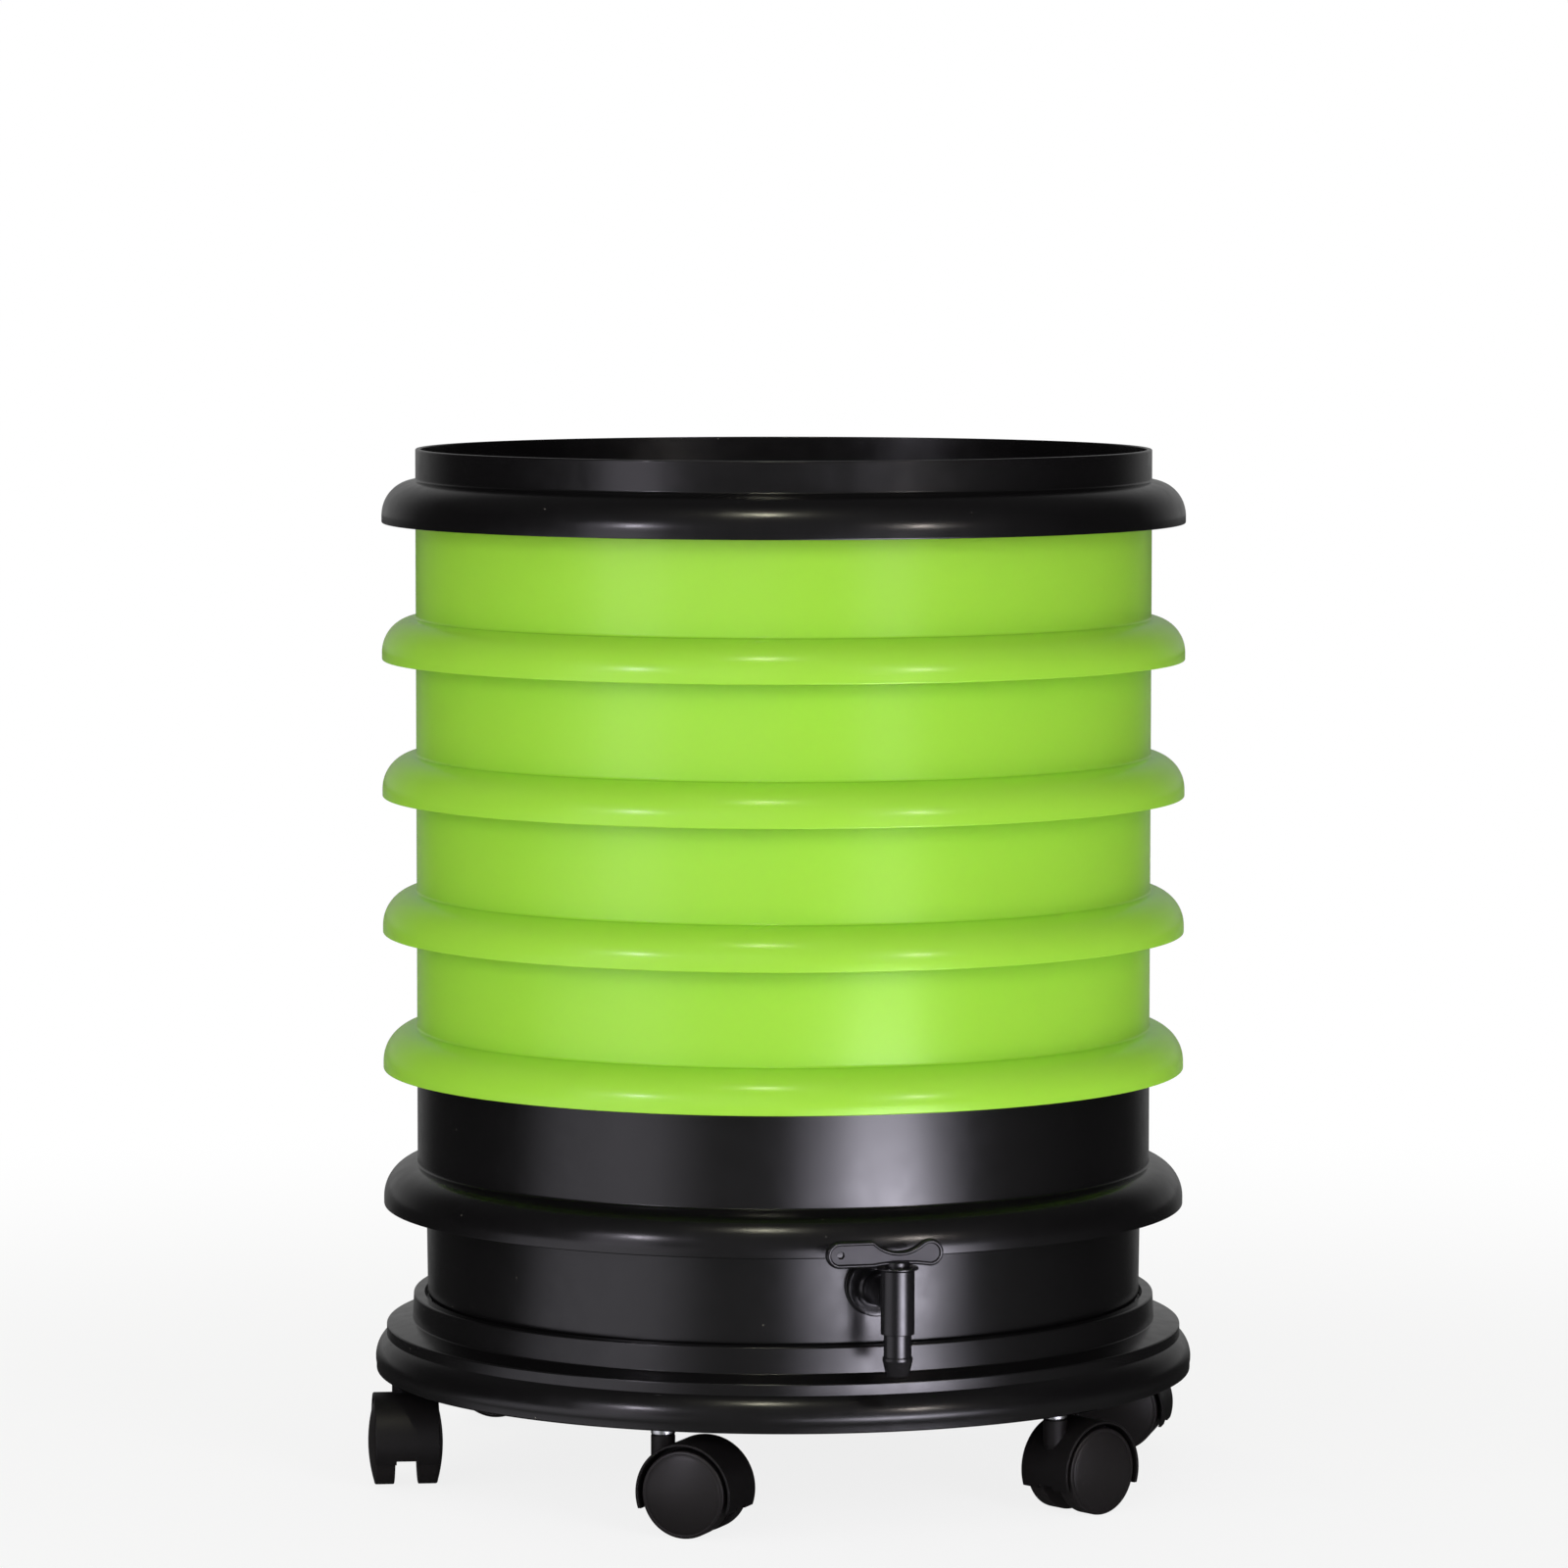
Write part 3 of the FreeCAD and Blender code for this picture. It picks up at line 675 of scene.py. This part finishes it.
# %% Draw the lever's outline
LEVER_FOOT = 127.1
LEVER_HEIGHT = 12.4
LEVER_MIDDLE = LEVER_FOOT + LEVER_HEIGHT / 2
LEVER_LEFT = 33.6
LEVER_RIGHT = 21.1
WAIST_LEFT = -11.8
WAIST_LOW = LEVER_FOOT + 1.0
WAIST_HIGH = LEVER_FOOT + 7.2
STRAIGHT_STEPS = 8
DIAGONAL = math.sqrt(0.5)


def through(start, middle, end, steps):
    """Points on the circle through three points, without the first."""
    (ax, ay), (bx, by), (cx, cy) = start, middle, end
    scale = 2 * (ax * (by - cy) + bx * (cy - ay) + cx * (ay - by))
    a2, b2, c2 = ax * ax + ay * ay, bx * bx + by * by, cx * cx + cy * cy
    centre = Vector(((a2 * (by - cy) + b2 * (cy - ay) + c2 * (ay - by)) / scale,
                     (a2 * (cx - bx) + b2 * (ax - cx) + c2 * (bx - ax)) / scale))
    first, *others = (Vector(point) - centre for point in (start, middle, end))
    via, last = ((math.atan2(v.y, v.x) - math.atan2(first.y, first.x)) % (2 * math.pi)
                 for v in others)
    sweep = last if via < last else last - 2 * math.pi
    spins = [Matrix.Rotation(sweep * step / steps, 2) for step in range(1, steps + 1)]
    return [tuple(centre + spin @ first) for spin in spins]


def lever_outline(inset):
    """The lever's outline as (across, height), drawn in by an inset."""
    lobe = LEVER_HEIGHT / 2 - inset
    low, high = LEVER_MIDDLE - lobe, LEVER_MIDDLE + lobe
    left = LEVER_HEIGHT / 2 - LEVER_LEFT
    right = LEVER_RIGHT - LEVER_HEIGHT / 2
    shoulder = (right - lobe * DIAGONAL, LEVER_MIDDLE + lobe * DIAGONAL)
    along = [left + (WAIST_LEFT - left) * step / STRAIGHT_STEPS
             for step in range(STRAIGHT_STEPS + 1)]
    points = [(across, low) for across in along]
    points += through((WAIST_LEFT, low), (0.0, WAIST_LOW + inset), (right, low), 16)
    points += through((right, low), (right + lobe, LEVER_MIDDLE), shoulder, 16)
    points += through(shoulder, (0.0, WAIST_HIGH - inset), (WAIST_LEFT, high), 20)
    points += [(across, high) for across in along[-2::-1]]
    points += through((left, high), (left - lobe, LEVER_MIDDLE), (left, low), 16)[:-1]
    return points


print("points round the lever:", len(lever_outline(0.0)))

# %% Mould the lever and its plug
WEB_FACE = 1.7
RIM_FACE = 2.5
# How far out each section of the front half lies, and how far its outline is drawn in.
FRONT_SECTIONS = [(1.0, 0.0), (1.5, 0.06), (1.95, 0.25), (2.28, 0.55), (2.46, 0.9),
                  (RIM_FACE, 1.2), (2.44, 1.5), (2.2, 1.8), (WEB_FACE, 2.05)]
HANG_HOLE_ACROSS = -27.0
HANG_HOLE_RADIUS = 1.8
HANG_HOLE_STEPS = 24
PLUG_FOOT = 102.0
PLUG_RADIUS = 5.9
CAP_FOOT = 125.9
CAP_RADIUS = 9.5
KNOB_RADIUS = 5.5
KNOB_TOP = LEVER_FOOT + 2.4
PORT_RADIUS = 4.2
PORT_REACH = 9
WAY_RADIUS = 3.6
BELOW_PLUG = 100
ON_WEB_MM = 0.02
sections = [(-out, inset) for out, inset in reversed(FRONT_SECTIONS)] + FRONT_SECTIONS
hang_hole = arc((HANG_HOLE_ACROSS, LEVER_MIDDLE), HANG_HOLE_RADIUS, 0, 360, HANG_HOLE_STEPS)[:-1]
lever = lofted("tap_lever_and_plug",
               [[(out, *point) for point in lever_outline(inset)] for out, inset in sections],
               [[[(out, *point) for point in hang_hole]] for out in (-WEB_FACE, WEB_FACE)])
plug = turned("plug", rounded([
    (0, PLUG_FOOT), (PLUG_RADIUS, PLUG_FOOT, 0.3), (PLUG_RADIUS, CAP_FOOT),
    (CAP_RADIUS, CAP_FOOT, 0.3), (CAP_RADIUS, LEVER_FOOT, 0.5), (KNOB_RADIUS, LEVER_FOOT),
    (KNOB_RADIUS, KNOB_TOP, 0.4), (0, KNOB_TOP)]), 96)
combined(lever, [plug])
port = moved(turned("port", rod(PORT_RADIUS, 0, PORT_REACH), 48),
             shift(0, 0, TAP_HEIGHT) @ turn(-90, "X"))
way = turned("way", rod(WAY_RADIUS, BELOW_PLUG, TAP_HEIGHT), 48)
combined(lever, [port, way], "DIFFERENCE")
moved(lever, at_barrel)
place_piece(lever, tap_plastic, "tap_handle", "tap_lever", sharp_degrees=50)
lever.data.materials.append(lever_plastic)
to_lever = at_barrel.inverted()
for polygon in lever.data.polygons:
    if abs(abs((to_lever @ polygon.center).x) - WEB_FACE * MM) < ON_WEB_MM * MM:
        polygon.material_index = 1
print("lever faces:", len(lever.data.polygons))

# %% Seal and clamp the tap
WASHER_BORE = 9.9
WASHER_RADIUS = 13.0
washer = along_inlet("tap_washer_outside", rounded([
    (WASHER_BORE, PAD_OUTER, 0.2), (WASHER_RADIUS, PAD_OUTER, 0.3),
    (WASHER_RADIUS, FLANGE_FACE, 0.3), (WASHER_BORE, FLANGE_FACE, 0.2)]), closed=True)
place_piece(washer, washer_rubber, "collector", "tap_outer_washer")
dress_node("tap_inner_washer", washer_rubber)
dress_node("tap_back_nut", tap_plastic)
print("the inner washer and the nut keep their CAD shape")

# %% [markdown]
# ## The dolly
#
# The dolly is a thick black moulding that steps down from a collar, which the tub stands in, to a
# ledge, and then to a skirt that bells out over the castors. Seen from below it is hollow, with
# ribs like spokes under the deck and a socket for each castor stem.

# %% Mould the dolly
CLEAR = 48.0
SKIRT_EDGE = CLEAR + 3.0
LIP_RADIUS = 196.3
SKIRT_INSIDE_RADIUS = 193.5
SKIRT_INSIDE_TOP = 53.8
STEP_RADIUS = 191.3
STEP_INSIDE_RADIUS = 188.5
STEP_FOOT = 64.8
STEP_TOP = 70.2
LEDGE_UNDER = 69.8
COLLAR_FOOT_RADIUS = 178.8
COLLAR_FOOT = 72.6
COLLAR_RADIUS = 178.2
COLLAR_TOP = 85.2
TUB_SEAT_RADIUS = 172.8
DECK_UNDER = 77.4
DECK_UNDER_RADIUS = 176.8
INTO_DECK = 78.4
RIB_FOOT = 67.4
RIB_COUNT = 12
RIB_HALF = 1.25
RIB_START, RIB_END = 26.8, 177.6
HUB_INNER, HUB_OUTER = 25.5, 28
SOCKET_RADIUS = 6.3
SOCKET_SHOULDER = 64.2
SOCKET_TIP_RADIUS = 5.0
SOCKET_TOP = 68.8
STEM_BORE = 4.05
BORE_FROM, BORE_TOP = 40, 64.3
skirt = through((LIP_RADIUS, SKIRT_EDGE),
                (STEP_RADIUS + (LIP_RADIUS - STEP_RADIUS) * DIAGONAL,
                 SKIRT_EDGE + (STEP_FOOT - SKIRT_EDGE) * DIAGONAL), (STEP_RADIUS, STEP_FOOT), 14)
dolly = turned("dolly", rounded([
    (0, DECK_UNDER), (DECK_UNDER_RADIUS, DECK_UNDER, 1.0), (DECK_UNDER_RADIUS, LEDGE_UNDER, 0.6),
    (STEP_INSIDE_RADIUS, RIB_FOOT), (STEP_INSIDE_RADIUS, STEP_FOOT),
    (SKIRT_INSIDE_RADIUS, SKIRT_INSIDE_TOP), (SKIRT_INSIDE_RADIUS, CLEAR, 0.5),
    (LIP_RADIUS, CLEAR, 0.8), (LIP_RADIUS, SKIRT_EDGE), *skirt, (STEP_RADIUS, STEP_TOP, 0.9),
    (COLLAR_FOOT_RADIUS, COLLAR_FOOT, 0.6), (COLLAR_RADIUS, COLLAR_TOP, 0.9),
    (TUB_SEAT_RADIUS, COLLAR_TOP, 0.6), (TUB_SEAT_RADIUS, DECK_TOP, 0.8), (0, DECK_TOP)]),
    ROUND_SEGMENTS)
stems = [Vector(joints[f"castor_swivel_{number}"]["pos_m"]) for number in range(1, 7)]
first_angle = math.degrees(math.atan2(stems[0].y, stems[0].x))
inside = [turned("hub", rod(HUB_OUTER, RIB_FOOT, INTO_DECK, HUB_INNER), 96, closed=True)]
for index in range(RIB_COUNT):
    rib = block("rib", RIB_START, RIB_END, RIB_HALF, RIB_FOOT, INTO_DECK)
    inside.append(moved(rib, turn(first_angle + 360 / RIB_COUNT * (index + 0.5), "Z")))
for stem in stems:
    socket = turned("socket", rounded([
        (0, CLEAR), (SOCKET_RADIUS, CLEAR, 0.4), (SOCKET_RADIUS, SOCKET_SHOULDER),
        (SOCKET_TIP_RADIUS, SOCKET_SHOULDER), (SOCKET_TIP_RADIUS, SOCKET_TOP),
        (0, SOCKET_TOP)]), 48)
    inside.append(moved(socket, upright_at(stem)))
combined(dolly, inside)
bores = [moved(turned("bore", rod(STEM_BORE, BORE_FROM, BORE_TOP), 48), upright_at(stem))
         for stem in stems]
combined(dolly, bores, "DIFFERENCE")
place_piece(dolly, black_plastic, "dolly", "castor_dolly")
print("dolly faces:", len(dolly.data.polygons))

# %% [markdown]
# ## The castors
#
# Each castor is a twin-wheel furniture castor: two low-domed wheels side by side under a half-round
# hood, on a zinc-plated stem. In the photograph each has stopped at its own heading, so the place
# and the heading of each come from its joints. The hood is a thin shell, lofted with rounded rims,
# with a web between the wheels and a boss for the stem.

# %% Turn the stems
STEM_RADIUS = 4.0
STEM_FOOT = 26.0
STEM_TOP = 64.0
BEAD_RADIUS = 5.6
BEAD_FOOT = 45.3
stem_outline = rounded([
    (0, STEM_FOOT), (STEM_RADIUS, STEM_FOOT, 0.5), (STEM_RADIUS, BEAD_FOOT),
    (BEAD_RADIUS, BEAD_FOOT, 0.4), (BEAD_RADIUS, CLEAR, 0.4), (STEM_RADIUS, CLEAR),
    (STEM_RADIUS, STEM_TOP, 0.6), (0, STEM_TOP)])
stem_pieces = [moved(turned("stem", stem_outline, 64), upright_at(stem)) for stem in stems]
castor_stems = combined(stem_pieces[0], stem_pieces[1:])
castor_stems.name = "castor_stem_set"
place_piece(castor_stems, zinc_plate, "dolly", "castor_stems")
print("stems:", len(stems))

# %% Shape a hood
AXLE_HEIGHT = 20.25
AXLE_BORE = 3.05
HOOD_OUTER = 23.55
HOOD_INNER = 22.15
HOOD_EDGE = 15.3
HOOD_BELOW = 7.6
HOOD_STEPS = 48
# How far in from the hood's edge each section of its rim lies, and how far it is drawn in.
HOOD_RIM = [(0.0, 0.62), (0.05, 0.38), (0.18, 0.18), (0.38, 0.05), (0.62, 0.0)]
WEB_RADIUS = HOOD_INNER + 0.7
WEB_BELOW = 5.8
WEB_HALF = 5.3
CHAMFER = 0.3
GAP_BACK, GAP_FRONT = -20, 50
BOSS_FOOT = 25.2
BOSS_RADIUS = 5.6
BOSS_TOP = 45.0
BOSS_STEP = 32.7
BORE_FOOT = 25.7
BORE_END = 46
PAST_WEB = 6
TRAIL = (Vector(joints["wheel_spin_left_1"]["pos_m"]) - stems[0]).to_2d().length / MM


def level_feet(radius, below):
    """The degrees below level at which a round section ends, to leave its feet level."""
    return math.degrees(math.asin(below / radius))


def shell_outline(inset):
    """The hood's section across the axle: a half ring with level feet, drawn in by an inset."""
    outer, inner = HOOD_OUTER - inset, HOOD_INNER + inset
    low_outer = level_feet(outer, HOOD_BELOW - inset)
    low_inner = level_feet(inner, HOOD_BELOW - inset)
    middle = (TRAIL, AXLE_HEIGHT)
    return (arc(middle, outer, -low_outer, 180 + low_outer, HOOD_STEPS)
            + arc(middle, inner, 180 + low_inner, -low_inner, HOOD_STEPS))


def web_outline(inset):
    """The web's section: a disc inside the shell, cut level below the axle."""
    radius = WEB_RADIUS - inset
    low = level_feet(radius, WEB_BELOW - inset)
    return arc((TRAIL, AXLE_HEIGHT), radius, -low, 180 + low, HOOD_STEPS)


def across_axle(name, outline, half_width, rim):
    """A solid whose section runs across the castor, drawn in at both sides as its rim tells."""
    left = [(-half_width + back, inset) for back, inset in rim]
    right = [(half_width - back, inset) for back, inset in reversed(rim)]
    return lofted(name, [[(x, side, z) for x, z in outline(inset)]
                         for side, inset in left + right])


def hood(name):
    """One hood in the castor's own frame, with its stem on the Z axis."""
    shell = across_axle(name, shell_outline, HOOD_EDGE, HOOD_RIM)
    gap = block("gap", GAP_BACK, GAP_FRONT, WEB_HALF, 0, AXLE_HEIGHT - WEB_BELOW)
    combined(shell, [gap], "DIFFERENCE")
    web = across_axle("web", web_outline, WEB_HALF, [(0, CHAMFER), (CHAMFER, 0)])
    boss = turned("boss", rounded([
        (0, BOSS_FOOT), (WEB_HALF, BOSS_FOOT, 1.0), (WEB_HALF, BOSS_STEP),
        (BOSS_RADIUS, BOSS_STEP + CHAMFER), (BOSS_RADIUS, BOSS_TOP, 0.6), (0, BOSS_TOP)]), 64)
    combined(shell, [web, boss])
    stem_bore = turned("stem bore", rod(STEM_BORE, BORE_FOOT, BORE_END), 48)
    axle_bore = moved(turned("axle bore", rod(AXLE_BORE, -PAST_WEB, PAST_WEB), 48),
                      shift(TRAIL, 0, AXLE_HEIGHT) @ turn(90, "X"))
    return combined(shell, [stem_bore, axle_bore], "DIFFERENCE")


print("hood trail:", round(TRAIL, 1), "mm")

# %% Shape a wheel
WHEEL_RADIUS = 20.25
WHEEL_IN = 5.7
WHEEL_EDGE = 14.9
WHEEL_DOME = 2.8
FACE_RADIUS = 19.45
FACE_STEPS = (17.9, 16, 14, 12, 10, 8, 6, 4, 2)
GROOVE_EDGE = 18.9
GROOVE_FLOOR = (18.6, 18.25)
GROOVE_DEPTH = 0.25
AXLE_END = 14.1


def dome(radius):
    """How far out the wheel's face lies at a radius: a low dome."""
    return WHEEL_EDGE + WHEEL_DOME * (1 - (radius / FACE_RADIUS) ** 2)


def wheel(name):
    """One wheel, its axle along Z: tread, rounded edge, a fine groove and a domed face."""
    groove = [(radius, dome(radius) - GROOVE_DEPTH) for radius in GROOVE_FLOOR]
    face = [(radius, dome(radius)) for radius in FACE_STEPS]
    outline = rounded([(0, AXLE_END), (AXLE_BORE, AXLE_END), (AXLE_BORE, WHEEL_IN),
                       (WHEEL_RADIUS, WHEEL_IN, 0.5), (WHEEL_RADIUS, WHEEL_EDGE - 0.1, 0.9),
                       (GROOVE_EDGE, dome(GROOVE_EDGE), 0.1), *groove, *face, (0, dome(0))])
    return turned(name, outline, 128)


print("face of a wheel:", round(dome(0), 1), "mm out from the middle of the castor")

# %% Set the six castors
first_hood = hood("castor_hood_moulding_1")
for number, stem in enumerate(stems, 1):
    to_wheel = (Vector(joints[f"wheel_spin_left_{number}"]["pos_m"]) - stem).to_2d()
    heading = math.degrees(math.atan2(to_wheel.y, to_wheel.x))
    castor_place = upright_at(stem) @ turn(heading, "Z")
    cover = first_hood
    if number < len(stems):
        cover = first_hood.copy()
        cover.data = first_hood.data.copy()
        scene.collection.objects.link(cover)
    cover.name = f"castor_hood_moulding_{number}"
    moved(cover, castor_place)
    place_piece(cover, hood_plastic, f"castor_{number}", f"castor_hood_{number}")
    for side, lean in (("left", -90), ("right", 90)):
        disc = moved(wheel(f"castor_wheel_{side}_{number}_face"),
                     castor_place @ shift(TRAIL, 0, AXLE_HEIGHT) @ turn(lean, "X"))
        place_piece(disc, wheel_plastic, f"wheel_{side}_{number}",
                    f"castor_wheel_{side}_{number}", sharp_degrees=50)
    dress_node(f"castor_axle_{number}", zinc_plate)
print("castors:", number, "last heading", round(heading, 1))

# %% [markdown]
# ## Floor and background
#
# A product picture stands on white with hardly a shadow. The floor here is a plain pale sheet that
# keeps a soft contact shadow. It fades to the white of the background with distance from the
# stack, so there is no horizon. Painted pools of light glow on the floor in front, seen only in
# reflections; the low walls of the collector and the dolly mirror them as the broad upright sheen
# beside the tap. A painted glow on the floor near the stack, seen only by diffuse rays, lights it
# from below, more from the right. That light reaches the walls under each ring, and the ring keeps
# it from the foot of the wall above, which is why a dark line runs along the top of each ring.

# %% Lay the floor
FLOOR_RADIUS = 12.0
FLOOR_COLOUR = "#F0F0F0"
FADE_START, FADE_END = 0.35, 1.3
FADE_SHARE = 0.84
DIM_STUDIO = 0.03
FRONT_OF_STUDIO = 0.2
POOL_SOFTNESS = 0.6
# A painted pool of light on the floor: its side and half its spread in degrees, its strength, where
# it is at its full strength and where it has gone, both in metres from the stack, and its tint.
# Painted pools of light on the floor, seen only in reflections.
PAINTED_POOLS_IN_MIRROR = (
    (29, 15, 13.5, 0.75, 2.0, "#F3EFFF"),
    (28, 30, 4.8, 0.75, 2.0, "#F3EFFF"),
    (27, 26, 4.0, 0.75, 1.8, "#F3EFFF"),
    (-52, 33, 1.0, 0.45, 6.0, "#F7F3FF"),
    (0, 110, FRONT_OF_STUDIO, 0.3, 9.0, WHITE),
    (180, 47, 0.2, 0.3, 9.0, WHITE),
)
# Painted glow on the floor, seen only by diffuse rays, that lights the stack from below.
PAINTED_UPLIGHT_POOLS = (
    (80, 100, 0.95, 0.2, 1.0, WHITE),
    (-70, 90, 0.35, 0.2, 1.0, WHITE),
)


def clear_view(tree):
    """Tells a ray that sees directly or through something clear, and a mirrored ray."""
    path = add_node(tree, "LightPath").outputs
    either = add_node(tree, "Math", {0: path["Is Camera Ray"], 1: path["Is Transmission Ray"]},
                      operation="MAXIMUM")
    return either.outputs[0], path["Is Glossy Ray"]


def front_direction(side_degrees):
    """A level direction, counted from the front towards the right."""
    side = math.radians(side_degrees)
    return math.sin(side), -math.cos(side), 0.0


def painted_pool_light(tree, outward, distance, even, pools):
    """The painted light of the floor: an even glow, and the painted glow of each pool added to it.
    """
    total = add_node(tree, "Emission", {"Color": linear(WHITE), "Strength": even})
    for side, half_spread, strength, full, gone, tint in pools:
        facing = add_node(tree, "VectorMath", {0: outward, 1: front_direction(side)},
                          operation="DOT_PRODUCT").outputs["Value"]
        across = add_node(tree, "MapRange",
                          {"Value": facing, "From Min": math.cos(math.radians(half_spread)),
                           "From Max": 1.0}, **SMOOTH)
        nearer = add_node(tree, "MapRange",
                          {"Value": distance, "From Min": full * POOL_SOFTNESS, "From Max": full,
                           "To Min": 0.0, "To Max": strength}, **SMOOTH)
        farther = add_node(tree, "MapRange",
                           {"Value": distance, "From Min": gone / 2, "From Max": gone,
                            "To Min": 1.0, "To Max": 0.0}, **SMOOTH)
        along = add_node(tree, "Math", {0: nearer, 1: farther}, operation="MULTIPLY")
        bright = add_node(tree, "Math", {0: across, 1: along}, operation="MULTIPLY")
        glow = add_node(tree, "Emission", {"Color": linear(tint), "Strength": bright})
        total = add_node(tree, "AddShader", {0: total, 1: glow})
    return total


floor_maker = bmesh.new()
bmesh.ops.create_circle(floor_maker, cap_ends=True, segments=96, radius=FLOOR_RADIUS / MM)
floor = new_object("floor", floor_maker)
floor_material = bpy.data.materials.new("pale studio floor with painted pools of light")
tree = empty_tree(floor_material)
seen, reflected = clear_view(tree)
place = add_node(tree, "TexCoord").outputs["Object"]
distance = add_node(tree, "VectorMath", {0: place}, operation="LENGTH").outputs["Value"]
outward = add_node(tree, "VectorMath", {0: place}, operation="NORMALIZE")
paper = add_node(tree, "BsdfDiffuse", {"Color": linear(FLOOR_COLOUR)})
backdrop = add_node(tree, "Emission", {"Color": linear(WHITE), "Strength": 1.0})
fade = add_node(tree, "MapRange",
                {"Value": distance, "From Min": FADE_START, "From Max": FADE_END,
                 "To Min": FADE_SHARE, "To Max": 1.0}, **SMOOTH)
share = add_node(tree, "Math", {0: fade, 1: seen}, operation="MULTIPLY")
plain = add_node(tree, "MixShader", {0: share, 1: paper, 2: backdrop})
# The painted glow that lights the stack from below, seen only by diffuse rays.
painted_uplight = painted_pool_light(tree, outward, distance, 0.0, PAINTED_UPLIGHT_POOLS)
with_painted_uplight = add_node(tree, "AddShader", {0: plain, 1: painted_uplight})
diffuse_ray = add_node(tree, "LightPath").outputs["Is Diffuse Ray"]
unmirrored = add_node(tree, "MixShader", {0: diffuse_ray, 1: plain, 2: with_painted_uplight})
# The painted pools of light, seen only in reflections.
painted_pools_in_mirror = painted_pool_light(tree, outward, distance, DIM_STUDIO, PAINTED_POOLS_IN_MIRROR)
mixed = add_node(tree, "MixShader", {0: reflected, 1: unmirrored, 2: painted_pools_in_mirror})
add_node(tree, "OutputMaterial", {"Surface": mixed})
floor.data.materials.append(floor_material)
print("floor radius", FLOOR_RADIUS, "m")

# %% [markdown]
# The background is white where it is seen directly or through something clear. A reflection sees
# it too, dimmed, where it stands behind the stack, and sees the dim studio in front and a dimmer
# ceiling, which is what keeps black plastic black. All other light from it is even.

# %% Hang the background
# A span tells between which parts of a direction's Y or Z a tone changes to the next.
STUDIO_SPAN = {"From Min": -1.0, "From Max": 0.1}
BACKDROP_SPAN = {"From Min": 0.55, "From Max": 0.97}
CEILING_SPAN = {"From Min": 0.3, "From Max": 0.9}
BACKDROP_IN_REFLECTION = 0.3
CEILING_IN_REFLECTION = 0.05
EVEN_LIGHT = 0.28
world = bpy.data.worlds.new("white studio")
tree = empty_tree(world)
seen, reflected = clear_view(tree)
direction = add_node(tree, "TexCoord").outputs["Generated"]
parts = add_node(tree, "SeparateXYZ", {0: direction}).outputs
in_front = add_node(tree, "MapRange",
                    {"Value": parts["Y"], **STUDIO_SPAN,
                     "To Min": DIM_STUDIO + FRONT_OF_STUDIO, "To Max": DIM_STUDIO}, **SMOOTH)
behind = add_node(tree, "MapRange", {"Value": parts["Y"], **BACKDROP_SPAN, "To Min": 0.0,
                                     "To Max": BACKDROP_IN_REFLECTION}, **SMOOTH)
overhead = add_node(tree, "MapRange", {"Value": parts["Z"], **CEILING_SPAN, "To Min": 0.0,
                                       "To Max": CEILING_IN_REFLECTION}, **SMOOTH)
level_round = add_node(tree, "Math", {0: in_front, 1: behind}, operation="ADD")
mirrored = add_node(tree, "Math", {0: level_round, 1: overhead}, operation="ADD")
lit = add_node(tree, "Mix", {SHARE: reflected, FLOAT_A: EVEN_LIGHT, FLOAT_B: mirrored})
level = add_node(tree, "Mix", {SHARE: seen, FLOAT_A: lit, FLOAT_B: 1.0})
sky = add_node(tree, "Background", {"Color": linear(WHITE), "Strength": level})
add_node(tree, "OutputWorld", {"Surface": sky})
scene.world = world
print("background in a reflection:", BACKDROP_IN_REFLECTION, "ceiling:", CEILING_IN_REFLECTION)

# %% [markdown]
# ## Studio light
#
# The highlights on the rings tell where the lamps stood: three small ones in front, a high one at
# the middle and two lower ones at the left and the right. The plain light on the trays comes in
# low and from the front, because the rings throw only short shadows. As in many product pictures,
# the lamps that light and the cards that are mirrored are set apart: a lamp can be hidden from
# reflections, and a card can be kept from lighting anything. A wide lamp behind lights the back.

# %% Hang the lamps
AIM = Vector((0, 0, 0.25))


def softbox(name, side_degrees, up_degrees, distance, width, height, watts, tint=WHITE,
            lights=True, mirrored=True):
    """A rectangular lamp that looks at the stack, placed by its angles from the front."""
    light = bpy.data.lights.new(name, "AREA")
    light.shape = "RECTANGLE"
    light.size = width
    light.size_y = height
    light.energy = watts
    light.color = linear(tint)[:3]
    lamp = bpy.data.objects.new(name, light)
    side, up = math.radians(side_degrees), math.radians(up_degrees)
    away = Vector((math.sin(side) * math.cos(up), -math.cos(side) * math.cos(up), math.sin(up)))
    lamp.location = AIM + away * distance
    lamp.rotation_euler = (-away).to_track_quat("-Z", "Y").to_euler()
    lamp.visible_camera = False
    lamp.visible_diffuse = lights
    lamp.visible_glossy = mirrored
    scene.collection.objects.link(lamp)


softbox("key front right", 31, 14, 2.4, 0.7, 1.5, 17.5, "#FAF8FF", mirrored=False)
softbox("fill front left", -56, 14, 2.4, 0.5, 1.5, 7.5, mirrored=False)
softbox("wide front left", -20, 12, 3.0, 2.2, 1.8, 28.5, mirrored=False)
softbox("small lamp behind left", -148, 35, 2.4, 0.5, 0.5, 4, "#FFF6DC", mirrored=False)
softbox("wide behind", 170, 10, 3.0, 2.2, 1.8, 20, mirrored=False)
softbox("small card left", -41, 17, 2.2, 0.10, 0.12, 4.6, "#F6F0FF", lights=False)
softbox("small card middle", -7, 52, 2.2, 0.06, 0.14, 5.2, "#FFFBE0", lights=False)
softbox("small card right", 37.5, 17, 2.2, 0.12, 0.12, 4.4, "#FFF4EC", lights=False)
softbox("tall card left", -46, 6, 2.6, 0.9, 1.4, 4.6, "#F6F0FF", lights=False)
softbox("tall card right", 32, 8, 2.6, 0.9, 1.4, 1.1, "#F3EFFF", lights=False)
